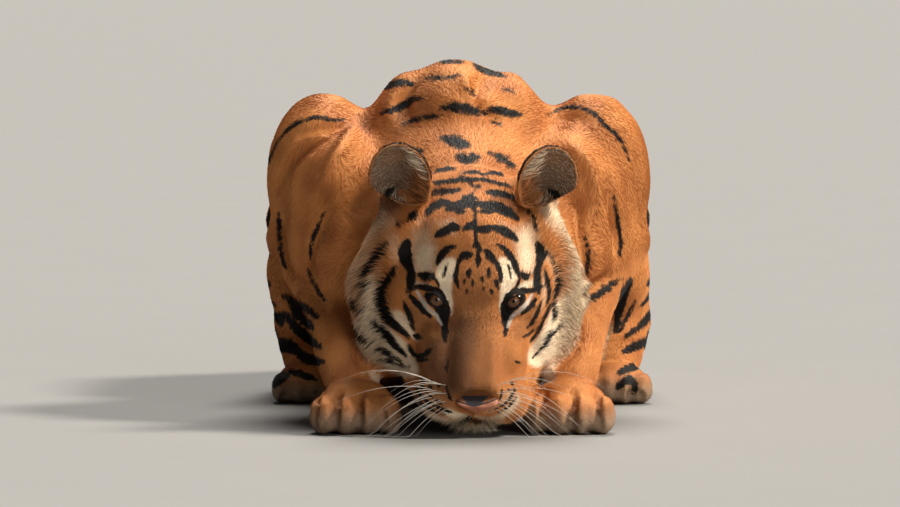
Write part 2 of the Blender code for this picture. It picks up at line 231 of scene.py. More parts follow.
def smoothstep(low, high, values):
    t = np.clip((values - low) / (high - low), 0, 1)
    return t * t * (3 - 2 * t)


def tree_of(mesh):
    mesh.calc_loop_triangles()
    return BVHTree.FromPolygons(
        read(mesh.vertices, "co", 3).tolist(),
        read(mesh.loop_triangles, "vertices", 3, np.int32).tolist())


def shares(triangles, places):
    """How much each corner of a triangle counts at a place on it."""
    a, b, c = triangles[:, 0], triangles[:, 1], triangles[:, 2]
    normal = np.cross(b - a, c - a)
    size = np.maximum((normal ** 2).sum(1), 1e-18)
    second = (np.cross(places - a, c - a) * normal).sum(1) / size
    third = (np.cross(b - a, places - a) * normal).sum(1) / size
    weights = np.clip(np.stack([1 - second - third, second, third], 1), 0, 1)
    return weights / weights.sum(1, keepdims=True)


def blended(values, corners, weights):
    """Values part way between the corners of triangles."""
    return (values[corners] * weights.reshape(*weights.shape, *[1] * (values.ndim - 1))).sum(1)


class Surface:
    """A mesh as arrays: its points, edges and triangles, with fields and a search tree."""

    def __init__(self, mesh):
        self.mesh = mesh
        self.points = read(mesh.vertices, "co", 3)
        self.edges = read(mesh.edges, "vertices", 2, np.int32)
        self.links = np.bincount(self.edges.ravel(), minlength=len(self.points))
        self.fields = {}
        self.refresh()

    def refresh(self):
        """Writes moved points back and works out the normals and the search tree again."""
        self.mesh.vertices.foreach_set("co", self.points.ravel())
        self.mesh.update()
        self.normals = read(self.mesh.vertex_normals, "vector", 3)
        self.tree = tree_of(self.mesh)

    def belongs(self, nodes):
        """Which points belong to some of the nodes."""
        return np.isin(self.fields["owner"], [FLESH.index(node) for node in nodes])

    def raised(self, field, values, where=slice(None)):
        """Lifts a field to some values where it is lower."""
        self.fields[field][where] = np.maximum(self.fields[field][where], values)

    def nearest(self, places):
        """The triangle nearest to each place, as its corners and how near the place is to each."""
        found = np.array([self.tree.find_nearest(place)[2] for place in places.tolist()])
        corners = read(self.mesh.loop_triangles, "vertices", 3, np.int32)[found]
        return corners, shares(self.points[corners], places)

    def blurred(self, values, rounds):
        """Values averaged with their neighbours, over and over."""
        ends = np.concatenate([self.edges[:, 0], self.edges[:, 1]])
        others = np.concatenate([self.edges[:, 1], self.edges[:, 0]])
        flat = values.reshape(len(values), -1).copy()
        for _ in range(rounds):
            for column in range(flat.shape[1]):
                total = np.bincount(ends, flat[others, column], len(flat))
                flat[:, column] = (flat[:, column] + total) / (1 + self.links)
        return flat.reshape(values.shape)


# The skin's shape

def fine_face(bm):
    """Divides the skin finely over the face, and more finely round the eyes, nose and mouth."""
    for reach, centres in ((0.16, [BROW + (NOSE - BROW) * 0.35]), (0.036, [*EYES.values(), NOSE])):
        near = set()
        for centre in centres:
            near.update(vert for vert in bm.verts if (vert.co - centre).length < reach)
        inside = [face for face in bm.faces if all(vert in near for vert in face.verts)]
        edges = list({edge for face in inside for edge in face.edges})
        bmesh.ops.subdivide_edges(bm, edges=edges, cuts=1, use_grid_fill=True)
    bmesh.ops.triangulate(bm, faces=[face for face in bm.faces if len(face.verts) > 4])


def largest_part(bm):
    """Drops any bubble that the remeshing left inside."""
    left = set(bm.verts)
    parts = []
    while left:
        front = [left.pop()]
        part = set(front)
        while front:
            vert = front.pop()
            others = {edge.other_vert(vert) for edge in vert.link_edges} & left
            left -= others
            part |= others
            front.extend(others)
        parts.append(part)
    keep = max(parts, key=len)
    bmesh.ops.delete(bm, geom=[vert for vert in bm.verts if vert not in keep], context="VERTS")


def edited(mesh, change):
    """The mesh after a change made to it as a bmesh."""
    bm = bmesh.new()
    bm.from_mesh(mesh)
    change(bm)
    bm.to_mesh(mesh)
    bm.free()
    return mesh


BODY_VOXEL, HEAD_VOXEL, PAW_VOXEL, SKIN_VOXEL = 0.0100, 0.0038, 0.0035, 0.0050


def skin_mesh():
    """All the flesh as one even mesh: the body smoothed more than the head and paws."""
    body = worked(mesh_of_nodes(BODY_PARTS), remesh(BODY_VOXEL), smoothing(10), ("SUBSURF", {"levels": 1}))
    sockets = [ball_mesh(EYES[side], EYE_RADIUS + 0.003) for side in SIDES]
    head = worked(merged([mesh_of_nodes(HEAD_PARTS), *sockets]), remesh(HEAD_VOXEL), smoothing(7))
    paws = worked(mesh_of_nodes(PAWS), remesh(PAW_VOXEL), smoothing(4))
    whole = worked(merged([body, head, paws]), remesh(SKIN_VOXEL), smoothing(3))
    return worked(edited(edited(whole, largest_part), fine_face), smoothing(2))


# Places on the skin, given in millimetres on a plane seen from one side

VIEW_WAYS = {"front": -LOOK_FORWARD, "left": Vector((1, 0, 0)), "right": Vector((-1, 0, 0)),
             "above": Vector((0, 0, 1)), "behind": Vector((0, 1, 0))}


def sight_lines(view, places):
    """Starts and directions of lines through places on a view's plane."""
    across, up = np.asarray(places, float).T * MM
    still = np.zeros(len(across))
    if view == "front":
        plane = [LOOK_AT + Vector((x + BROW_SIGHT[0], 0, 0)) + LOOK_UP * (z + BROW_SIGHT[1])
                 for x, z in zip(across, up)]
        return [(ONLOOKER, (place - ONLOOKER).normalized()) for place in plane]
    if view in SIDES:
        side = SIDES[view]
        starts, direction = np.stack([still + side, across, up], 1), Vector((-side, 0, 0))
    elif view == "above":
        starts, direction = np.stack([across, up, still + 1], 1), Vector((0, 0, -1))
    else:
        starts, direction = np.stack([across, still + 2, up], 1), Vector((0, -1, 0))
    return [(Vector(start), direction) for start in starts]


CURVE_STEPS = 8


def curve_through(points):
    """Points of a smooth curve through a few given ones."""
    points = np.asarray(points, float)
    padded = np.concatenate([[2 * points[0] - points[1]], points, [2 * points[-1] - points[-2]]])
    made = []
    for before, start, stop, after in zip(padded, padded[1:], padded[2:], padded[3:]):
        for t in np.arange(CURVE_STEPS) / CURVE_STEPS:
            pull = 2 * start + (stop - before) * t
            pull = pull + (2 * before - 5 * start + 4 * stop - after) * t * t
            made.append((pull + (3 * start - before - 3 * stop + after) * t ** 3) / 2)
    return np.array([*made, points[-1]])


def path_on(surface, view, places):
    """The curve through places, laid on the surface: its points, and how far along each one is."""
    curve = curve_through(places)
    laid, along = [], []
    for t, (start, direction) in zip(np.linspace(0, 1, len(curve)), sight_lines(view, curve)):
        hit = surface.tree.ray_cast(start, direction)[0]
        if hit is not None:
            laid.append(hit)
            along.append(t)
    return np.array(laid), np.array(along)


LONGEST_LEG = 0.03     # a longer one jumps from one part of the body to another


def distance_to_path(points, path):
    """Distance of each point to a path, and how far along the path its nearest place is."""
    best = np.full(len(points), 1e9)
    place = np.zeros(len(points))
    for number, (start, stop) in enumerate(zip(path, path[1:])):
        leg = stop - start
        length = leg @ leg
        if length > LONGEST_LEG ** 2:
            continue
        t = np.clip((points - start) @ leg / max(length, 1e-12), 0, 1)
        gap = np.linalg.norm(points - start - t[:, None] * leg, axis=1)
        nearer = gap < best
        best[nearer] = gap[nearer]
        place[nearer] = number + t[nearer]
    return best, place / max(len(path) - 1, 1)


def near_path(surface, path, reach):
    inside = (surface.points > path.min(0) - reach) & (surface.points < path.max(0) + reach)
    return np.flatnonzero(inside.all(1))


STROKE_REACH = 0.045
SEEN_REACH = 0.040     # nearer than this, a stroke drawn from the front is measured as it is seen
TURNED_AWAY = -0.25


def stroke(surface, view, width, *places, field="ink", crisp=1.0, blunt=0.5):
    """Draws one mark, tapered at both ends: the field becomes millimetres outside its edge."""
    path, along = path_on(surface, view, places)
    if len(path) < 2:
        return
    near = near_path(surface, path, STROKE_REACH)
    near = near[surface.normals[near] @ np.array(VIEW_WAYS[view]) > TURNED_AWAY]
    gap, place = distance_to_path(surface.points[near], path)
    if view == "front":
        seen_gap, place = distance_to_path(on_sighting_plane(surface.points[near]), on_sighting_plane(path))
        gap = np.where(gap < SEEN_REACH, seen_gap, gap)
    along = np.interp(place, np.linspace(0, 1, len(path)), along)
    half = width / 2 * np.sin(math.pi * (0.07 + 0.86 * along)) ** blunt
    edge = (gap / MM - half) * crisp
    surface.fields[field][near] = np.minimum(surface.fields[field][near], edge)


def crease(surface, depth, width, *places):
    """Presses a soft groove along a line, or raises a ridge where depth is less than nothing."""
    path = path_on(surface, "front", places)[0]
    if len(path) < 2:
        return
    near = near_path(surface, path, 3 * width * MM)
    gap, place = distance_to_path(surface.points[near], path)
    fade = np.sin(math.pi * np.clip(place, 0.02, 0.98)) ** 0.6
    push = depth * MM * fade * np.exp(-(gap / (width * MM)) ** 2)
    surface.points[near] -= surface.normals[near] * push[:, None]


def patch(surface, field, amount, soft, *outline):
    """Raises a field inside a closed outline on the head, as seen from the front, with a soft rim."""
    curve = curve_through([*outline, outline[0]]) * MM
    reach = soft * MM
    seen = surface.fields["seen"]
    inside = ((seen > curve.min(0) - reach) & (seen < curve.max(0) + reach)).all(1)
    near = np.flatnonzero(inside & surface.fields["on_face"])
    gap = distance_to_path(seen[near], curve)[0] / MM
    across, up = seen[near].T
    crossings = np.zeros(len(near), int)
    for (start_across, start_up), (stop_across, stop_up) in zip(curve, curve[1:]):
        spans = (start_up > up) != (stop_up > up)
        slope = (stop_across - start_across) / (stop_up - start_up or 1e-9)
        crossings += spans & (across < start_across + (up - start_up) * slope)
    weight = amount * smoothstep(-soft, soft, np.where(crossings % 2, gap, -gap))
    surface.raised(field, weight, near)


def bump(surface, centre, reach, push):
    """Moves the points near a centre out along their normals."""
    gap = np.linalg.norm(surface.points - centre, axis=1)
    weight = np.exp(-(gap / reach) ** 2) * push
    surface.points += weight[:, None] * surface.normals


def in_head(forward, left, up):
    """A point given along the head's own axes."""
    return np.array(HEAD_ORIGIN + HEAD_FORWARD * forward + HEAD_LEFT * left + HEAD_UP * up)


def head_places(points):
    return (points - np.array(HEAD_ORIGIN)) @ np.array([HEAD_FORWARD, HEAD_LEFT, HEAD_UP]).T


# Which part each point of the skin belongs to, and how the coat grows there

def owners(points):
    """The index in FLESH of the solid nearest to each point."""
    corners, faces, owner = [], [], []
    for number, node in enumerate(FLESH):
        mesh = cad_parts[node].data
        mesh.calc_loop_triangles()
        triangles = read(mesh.loop_triangles, "vertices", 3, np.int32) + len(corners)
        corners.extend(read(mesh.vertices, "co", 3).tolist())
        faces.extend(triangles.tolist())
        owner.extend([number] * len(triangles))
    tree = BVHTree.FromPolygons(corners, faces)
    return np.array([owner[tree.find_nearest(point)[2]] for point in points.tolist()])


# For each part: the way the hair lies, its length, width and lift, the coat's depth in millimetres,
# and tufts to the square metre.
GROWTH = {
    "head": ((0, 1, 0), 6.5, 1.0, 0.20, 2.5, 260000),
    "lower_jaw": ((0, 0.8, -0.5), 18, 1.2, 0.45, 4.0, 190000),
    "neck": ((0, 1, -0.25), 11, 1.4, 0.12, 3.5, 110000),
    "chest": ((0, 1, -0.35), 11, 1.5, 0.11, 3.5, 90000),
    "belly": ((0, 1, -0.30), 12, 1.8, 0.13, 4.0, 62000),
    "rump": ((0, 1, -0.60), 12, 1.8, 0.13, 4.0, 62000),
    "tail": ((0, 1, -0.05), 12, 1.5, 0.20, 3.5, 110000),
    "upper_arm": ((0.15, 0.45, -0.85), 9, 1.3, 0.10, 3.0, 130000),
    "forearm": ((-0.10, -0.75, -0.55), 8, 1.25, 0.11, 3.0, 135000),
    "thigh": ((0.05, 0.35, -0.90), 11, 1.7, 0.13, 3.5, 68000),
    "shank": ((0.0, -0.35, -0.80), 9, 1.4, 0.13, 3.0, 100000),
    "paw": ((0, -1, -0.25), 5.5, 1.0, 0.16, 1.8, 220000),
}
GROWTH_FIELDS = ("length", "width", "lift", "depth", "thick")


def growth_of(node):
    for kind, growth in GROWTH.items():
        if kind in node:
            side = -1 if node.endswith("right") else 1
            return (growth[0][0] * side, *growth[0][1:], *growth[1:])


def plan_growth(surface):
    """Gives each point its owner, the lie of its hair and its coat's sizes, blended between parts."""
    owner = surface.fields["owner"] = owners(surface.points)
    table = np.array([growth_of(node) for node in FLESH])[owner]
    lie, rest = table[:, :3], table[:, 3:]
    forward, left, up = head_places(surface.points).T
    out = np.abs(left)
    head = surface.belongs(HEAD_PARTS)
    ruff = head * smoothstep(0.112, 0.156, out) * (1 - smoothstep(0.15, 0.19, up))
    ruff *= 1 - smoothstep(0.19, 0.25, forward)
    muzzle = head * smoothstep(0.22, 0.30, forward)
    chin = head * smoothstep(0.05, 0.0, up) * smoothstep(0.20, 0.26, forward)
    cheek = head * smoothstep(0.070, 0.110, out) * (1 - smoothstep(0.20, 0.25, forward))
    keel = surface.belongs(["neck", "chest"]) * smoothstep(0.1, -0.5, surface.normals[:, 2])
    keel = keel * smoothstep(0.17, 0.10, surface.points[:, 2])
    from_nose = unit(surface.points - np.array(NOSE) - 0.02 * np.array(HEAD_FORWARD))
    sweep = np.stack([np.sign(left) * 0.55, np.full(len(left), 0.55), np.full(len(left), -0.65)], 1)
    face_lie = from_nose * (1 - ruff[:, None]) + sweep * ruff[:, None]
    lie[head] = face_lie[head]
    ear_foot = np.zeros(len(left))
    for side in SIDES:
        gap = np.linalg.norm(surface.points - np.array(middle("ear_" + side)), axis=1)
        ear_foot = np.maximum(ear_foot, head * smoothstep(0.085, 0.055, gap))
    rest[:, 0] += ruff * 13 + cheek * 4 - muzzle * 3.0 + chin * 12 + keel * 16 + ear_foot * 5
    rest[:, 1] += ruff * 0.4 - muzzle * 0.15 + chin * 0.2
    rest[:, 2] += ruff * 0.14 - cheek * 0.06 + chin * 0.2 + keel * 0.45
    rest[:, 3] += ruff * 6.0 + cheek * 1.0 - muzzle * 1.0 + chin * 3
    rest[:, 4] -= ruff * 90000 + cheek * 20000 + chin * 60000
    blurred = surface.blurred(np.concatenate([lie, rest], 1), 24)
    surface.fields["lie"] = unit(blurred[:, :3])
    for column, key in enumerate(GROWTH_FIELDS):
        surface.fields[key] = blurred[:, 3 + column]
    surface.fields["ruff"], surface.fields["keel"] = ruff, keel
    surface.fields["head"] = surface.blurred(head.astype(float), 6)


# Folds and features pressed into the skin

LID = 0.0022
OPEN_ACROSS, OPEN_UP, OPEN_RISE = 0.0172, 0.0072, 0.0018     # the almond between the lids, and its shift
EYE_SLANT = math.radians(35)
LIDS_START, LIDS_END = 0.024, 0.034     # from the eye's centre


def turned(x, y, angle):
    return x * math.cos(angle) + y * math.sin(angle), y * math.cos(angle) - x * math.sin(angle)


def shape_lids(surface):
    """Wraps the skin round each eyeball as lids, and opens an almond in front of it."""
    lid_gap = np.full(len(surface.points), FAR)
    for name, side in SIDES.items():
        centre = np.array(EYES[name])
        gaze = unit(np.array(ONLOOKER) - centre)
        across = unit(np.array(HEAD_LEFT) * side - gaze * (np.array(HEAD_LEFT) * side @ gaze))
        rise = np.cross(gaze, across) * side
        away = surface.points - centre
        far = np.linalg.norm(away, axis=1)
        way = away / far[:, None]
        x, y = turned(away @ across, away @ rise, EYE_SLANT)
        y += OPEN_RISE
        half = OPEN_UP * np.clip(1 - (x / OPEN_ACROSS) ** 2, 0, 1) ** 0.75
        front = (way @ gaze > 0.15) & (far < LIDS_END)
        opened = front & (np.abs(y) < half) & (np.abs(x) < OPEN_ACROSS)
        above, beside = np.clip(np.abs(y) - half, 0, 1), np.clip(np.abs(x) - OPEN_ACROSS, 0, 1)
        edge = np.hypot(above, beside) / MM
        lid_gap = np.where(front, np.minimum(lid_gap, edge), lid_gap)
        wanted = EYE_RADIUS + LID * (0.55 + 0.6 * np.exp(-above / 0.004))
        hold = 1 - smoothstep(LIDS_START, LIDS_END, far)
        least = np.maximum(far, wanted)
        raised = least * (1 - hold) + (wanted * 0.75 + least * 0.25) * hold
        target = np.where(front & ~opened, raised, np.where(opened, EYE_RADIUS - 0.004, far))
        surface.points = centre + way * target[:, None]
    surface.fields["lid_gap"] = lid_gap


MUSCLE_LINES = [
    # depth, width, then places: grooves are positive and ridges negative
    (10, 13, (-303, 165), (-288, 198), (-264, 228), (-222, 252)),
    (9, 12, (-293, 135), (-291, 95), (-286, 60), (-276, 35)),
    (-7, 14, (-240, 160), (-216, 200), (-196, 232), (-172, 275)),
    (9, 12, (-226, 130), (-243, 90), (-249, 60), (-240, 30)),
    (-5, 14, (-272, 150), (-262, 190), (-238, 225)),
    (10, 12, (203, 170), (211, 130), (215, 100), (214, 66)),
    (-6, 14, (184, 140), (178, 180), (165, 212), (140, 238)),
    (9, 12, (148, 155), (160, 110), (168, 70), (163, 30)),
    (9, 12, (160, 5), (185, 18), (212, 38)),
    (9, 12, (-287, 18), (-262, 18), (-240, 2), (-222, -18)),
    (12, 14, (18, 345), (8, 315), (20, 288), (45, 272)),
    (-6, 13, (-20, 345), (-8, 320), (8, 298), (26, 282)),
    (7, 14, (-95, 330), (-112, 300), (-100, 270)),
    (3, 14, (108, 262), (128, 274), (150, 276), (176, 262)),
    (5, 12, (-185, 262), (-212, 262), (-245, 258), (-272, 245)),
]
TOE_LINES = [
    # depth, then places up the groove between two toes
    (7, (-240, -198), (-241, -178), (-238, -150), (-232, -134)),
    (8, (-208, -200), (-209, -178), (-207, -150), (-203, -134)),
    (8, (-175, -200), (-174, -178), (-174, -152), (-176, -136)),
    (6, (-140, -200), (-138, -180), (-138, -160)),
    (8, (99, -198), (100, -176), (101, -150), (104, -134)),
    (8, (145, -198), (144, -176), (146, -150), (148, -130)),
    (8, (188, -194), (185, -172), (183, -150), (180, -132)),
    (6, (232, -158), (234, -145), (232, -134)),
    (6, (248, -156), (250, -146), (247, -136)),
    (6, (-286, -166), (-288, -152), (-284, -140)),
    (6, (-308, -164), (-308, -152), (-304, -142)),
]
FACE_LINES = [
    # depth, width, then places: the mouth, the forehead, the sides of the bridge and the cheeks
    (2.6, 4.5, (-5, -168), (-8, -172)),
    (2.4, 3.2, (-8, -170), (-22, -176), (-42, -180), (-62, -175), (-80, -160)),
    (2.4, 3.2, (-4, -171), (10, -178), (28, -180), (48, -172), (58, -158)),
    (2.5, 9.0, (0, 150), (1, 120), (2, 90)),
    (1.6, 9.0, (-38, -50), (-42, -100), (-45, -150)),
    (1.6, 9.0, (40, -50), (41, -100), (40, -145)),
    (-1.2, 8.0, (-27, -40), (-29, -95), (-31, -140)),
    (-1.2, 8.0, (28, -40), (28, -95), (28, -135)),
    (2.5, 7.0, (-80, -96), (-66, -104), (-50, -122)),
    (2.5, 7.0, (76, -96), (64, -104), (48, -122)),
]
FACE_BUMPS = [
    # forward, out and up in the head, reach, push
    (0.335, 0.036, 0.040, 0.024, 0.0045),
    (0.225, 0.050, 0.156, 0.022, 0.0070),
    (0.245, 0.026, 0.120, 0.018, -0.0030),
    (0.215, 0.085, 0.110, 0.026, 0.0045),
    (0.320, 0.060, 0.030, 0.022, 0.0035),
]


MUSCLE_RELIEF, TOE_RELIEF, TOE_WIDTH = 1.8, 2.1, 5.4


def shape_skin(surface):
    for depth, *line in MUSCLE_LINES:
        crease(surface, depth * MUSCLE_RELIEF, *line)
    for depth, *places in TOE_LINES:
        crease(surface, depth * TOE_RELIEF, TOE_WIDTH, *places)
    surface.refresh()
    for forward, out, up, reach, push in FACE_BUMPS:
        for side in SIDES.values():
            bump(surface, in_head(forward, out * side, up), reach, push)
    for line in FACE_LINES:
        crease(surface, *line)
    surface.refresh()
    surface.points -= surface.normals * surface.fields["depth"][:, None] * MM
    shape_lids(surface)
    surface.points[:, 2] = np.maximum(surface.points[:, 2], FLOOR_GAP + 0.0001)
    surface.refresh()


# The markings

# Width, then places on the sighting plane. Left and right differ, as on any tiger.
FACE_MARKS = [
    (6, (-62, 191), (-45, 196), (-30, 197)),
    (4, (-20, 191), (0, 192), (12, 189)),
    (5, (14, 189), (30, 191), (42, 187)),
    (4.5, (-25, 186), (-8, 182), (8, 181), (25, 178), (45, 172), (57, 168)),
    (6, (-78, 172), (-60, 175), (-38, 178), (-15, 180), (-3, 171)),
    (5, (-77, 172), (-76, 164), (-72, 160)),
    (7.5, (-82, 152), (-70, 157), (-52, 162), (-38, 163), (-21, 166)),
    (4, (-92, 156), (-84, 151), (-78, 152)),
    (9, (18, 162), (34, 160), (50, 156), (62, 151)),
    (3.5, (58, 149), (70, 147), (82, 153)),
    (5, (2, 171), (6, 170), (8, 167)),
    (11, (-74, 127), (-64, 138), (-50, 145), (-35, 145)),
    (13, (-42, 136), (-28, 141), (-14, 145), (0, 144)),
    (5, (-20, 153), (-8, 156), (4, 151)),
    (13, (0, 146), (18, 142), (34, 139), (50, 131), (63, 121)),
    (6, (-30, 132), (-14, 133)),
    (6, (8, 133), (28, 133)),
    (4.5, (-1, 168), (-3, 150), (0, 130), (0, 110), (2, 90), (2, 80)),
    (13, (-59, 96), (-46, 103), (-34, 109), (-23, 108)),
    (9, (-18, 106), (-8, 111), (2, 117)),
    (10, (2, 104), (12, 106), (22, 104)),
    (11, (22, 110), (38, 106), (51, 99), (62, 90)),
    (6, (72, 137), (82, 130), (88, 118), (92, 104)),
    (10, (-98, 118), (-93, 126), (-87, 133)),
    (9, (-57, 54), (-51, 66), (-42, 76), (-29, 81)),
    (8, (34, 84), (46, 75), (55, 62), (61, 50), (65, 36)),
    (7, (-4, 80), (3, 82), (8, 74)),
    (6, (3, 76), (5, 64), (3, 50)),
    (11, (-22, 61), (-14, 68), (-5, 69)),
    (6, (-24, 60), (-28, 45), (-28, 32), (-25, 18)),
    (7, (-9, 47), (-10, 36)),
    (11, (17, 74), (23, 66), (28, 58)),
    (6, (28, 64), (35, 50), (38, 38), (38, 28)),
    (5, (21, 48), (20, 34)),
    (5, (30, 32), (35, 17)),
    (3.5, (-16, 32), (-17, 25)),
    (3.5, (-3, 30), (-4, 22)),
    (3.5, (10, 36), (11, 28)),
    (3, (12, 20), (13, 14)),
    (3, (-12, 16), (-13, 10)),
    (3, (24, 16), (25, 10)),
    (3, (-40, 56), (-45, 46), (-47, 35)),
    (3, (48, 55), (52, 45), (53, 34)),
    (8, (-103, 14), (-88, 20), (-70, 19), (-56, 14), (-46, 2), (-40, -14), (-42, -30)),
    (14, (-60, -6), (-52, -14), (-46, -26), (-44, -36)),
    (8, (-41, -18), (-45, -38), (-44, -60)),
    (8, (-97, 8), (-86, -4), (-76, -15), (-67, -24)),
    (8, (100, 22), (86, 15), (70, 15), (56, 12), (46, 0), (42, -16), (44, -34)),
    (13, (58, -9), (52, -15), (46, -26), (45, -36)),
    (6, (43, -20), (46, -38), (44, -54)),
    (7, (90, 2), (82, -9), (70, -20)),
    (11, (-84, 39), (-71, 35), (-61, 35)),
    (3, (-63, 42), (-58, 30), (-54, 20)),
    (11, (71, 33), (79, 39)),
    (3, (71, 44), (66, 30), (61, 20)),
    (17, (-100, 88), (-105, 74), (-102, 60), (-97, 46)),
    (11, (-97, 52), (-95, 36), (-98, 14)),
    (12, (93, 86), (98, 70), (94, 50)),
    (10, (93, 54), (92, 34), (95, 12)),
    (10, (-131, 86), (-140, 70), (-151, 55), (-156, 40)),
    (5, (106, 76), (114, 64), (119, 46), (122, 26), (118, 6), (116, -6)),
    (11, (-118, 50), (-127, 34), (-136, 16), (-136, -2), (-131, -20), (-122, -34), (-110, -44), (-99, -54)),
    (5.5, (104, 48), (106, 34), (109, 20), (110, 8), (106, -8)),
    (4.5, (113, -2), (106, -20), (98, -38), (90, -52), (82, -62)),
    (9, (-148, -24), (-141, -37), (-132, -48), (-122, -62), (-112, -73), (-103, -82)),
    (4.5, (116, -6), (117, -20), (114, -34)),
    (3, (126, -30), (113, -52), (97, -73)),
    (3, (118, -46), (103, -66), (85, -85)),
    (7, (-106, -2), (-102, -14), (-96, -26), (-91, -44)),
    (5, (99, 2), (95, -12), (88, -27), (78, -40)),
    (4, (87, -44), (79, -51), (70, -54)),
    (7, (-92, -52), (-80, -56)),
    (6, (-98, -66), (-94, -77), (-84, -83), (-72, -78), (-64, -71)),
    (4, (-86, -90), (-70, -87)),
    (3, (60, -90), (67, -93)),
    (3, (-42, -128), (-39, -142), (-34, -150)),
    (2.5, (40, -132), (38, -147)),
    (3.4, (-88, -128), (-80, -142), (-66, -153), (-45, -163), (-30, -168)),
    (2.6, (-91, -138), (-80, -153), (-62, -164), (-44, -170)),
    (2.4, (-74, -133), (-62, -146), (-48, -155)),
    (2.2, (60, -130), (52, -146), (38, -158), (22, -164)),
    (2.0, (62, -144), (50, -158), (34, -167)),
    (5, (-79, -116), (-76, -120)),
    (4.5, (-66, -119), (-63, -122)),
    (5, (-80, -128), (-76, -132)),
    (5, (-68, -128), (-64, -132)),
    (4.5, (-72, -138), (-68, -141)),
    (4, (-60, -137), (-57, -140)),
    (3.5, (-56, -127), (-53, -129)),
    (3.5, (54, -122), (56, -125)),
    (3.5, (49, -132), (51, -136)),
    (3.5, (58, -132), (60, -135)),
]
WHITE_MARKS = [
    (6, (-87, 14), (-79, 1), (-70, -12), (-59, -21), (-50, -36)),
    (6, (85, 9), (77, -4), (66, -15), (55, -24), (49, -39)),
]
SOFT_FACE_MARKS = [
    # partly the black lip line and partly painted shadow under the middle of the lip
    (5, (-36, -180), (-22, -180), (-8, -175), (8, -180), (20, -182)),
    (12, (-178, 5), (-170, -5), (-160, -12)),
    (11, (-176, -34), (-164, -50), (-148, -62)),
    (9, (-142, -68), (-126, -82), (-108, -93)),
    (6, (-138, -86), (-120, -94), (-100, -99)),
    (9, (112, -48), (106, -60), (100, -70)),
    (11, (-164, 40), (-160, 26), (-164, 12)),
    (9, (-118, 112), (-108, 118)),
    (4, (-41, -88), (-41, -106)),
]
BODY_MARKS = [
    (8, (-98, 345), (-84, 352), (-65, 357)),
    (8, (-2, 353), (12, 344), (26, 340), (45, 334)),
    (9, (-145, 315), (-125, 322), (-108, 325), (-94, 324)),
    (9, (-140, 280), (-120, 286), (-105, 292), (-92, 300), (-79, 301)),
    (10, (20, 286), (34, 285), (50, 280), (68, 277)),
    (9, (-106, 219), (-92, 221), (-79, 223)),
    (4, (108, 277), (120, 283), (140, 289), (160, 287), (178, 279), (193, 263), (209, 249), (221, 232),
     (230, 208)),
    (4.5, (207, 158), (211, 130), (215, 105), (217, 85), (215, 66)),
    (4.5, (163, 100), (168, 76), (168, 55), (163, 30), (153, 4)),
    (4, (-195, 270), (-212, 270), (-230, 274), (-250, 271), (-270, 263), (-285, 250), (-298, 232)),
    (4, (-297, 234), (-308, 208), (-317, 184)),
    (5, (-294, 132), (-292, 110), (-291, 88), (-288, 65), (-283, 48)),
    (4.5, (-225, 133), (-236, 108), (-244, 85), (-247, 62)),
    (4, (-250, 48), (-241, 28), (-231, 10), (-223, 0)),
    (11, (233, 34), (223, 12), (215, -14), (210, -46)),
    (4, (240, 2), (229, -20), (216, -46)),
    (6, (268, -14), (254, -31), (236, -45), (224, -55)),
    (11, (264, -54), (245, -64), (222, -76)),
    (11, (270, -88), (244, -95), (214, -108)),
    (10, (240, -120), (226, -118), (212, -130)),
    (7, (240, -120), (236, -140)),
    (11, (-276, 2), (-268, -15), (-256, -28), (-242, -41)),
    (12, (-285, -18), (-266, -42), (-250, -55), (-231, -70)),
    (12, (-302, -18), (-290, -25), (-284, -24)),
    (17, (-312, -60), (-294, -64), (-276, -68), (-262, -77)),
    (13, (-268, -72), (-250, -87), (-227, -91)),
    (14, (-300, -126), (-292, -116), (-280, -110)),
    (8, (-276, -104), (-260, -110), (-238, -117)),
]
SOFT_BODY_MARKS = [
    (9, (-60, 358), (-40, 357), (-18, 356)),
    (8, (-76, 333), (-50, 332), (-24, 336)),
    (17, (-50, 286), (-30, 289), (-10, 284), (14, 283)),
    (9, (-106, 263), (-85, 271), (-70, 274), (-54, 274)),
    (7, (24, 269), (38, 262)),
    (20, (-48, 243), (-34, 238), (-20, 234), (-10, 232)),
    (16, (-26, 215), (-12, 212), (5, 215)),
    (12, (22, 220), (38, 213), (50, 205), (58, 200)),
    (6, (-12, 316), (0, 308)),
    (5, (40, 317), (58, 312)),
    (4, (126, 306), (145, 311), (165, 312), (190, 310)),
    # painted shade in the creases at the elbows, partly dark hair
    (12, (165, -2), (190, 14), (216, 34)),
    (12, (-286, 8), (-258, -8), (-236, -24)),
]
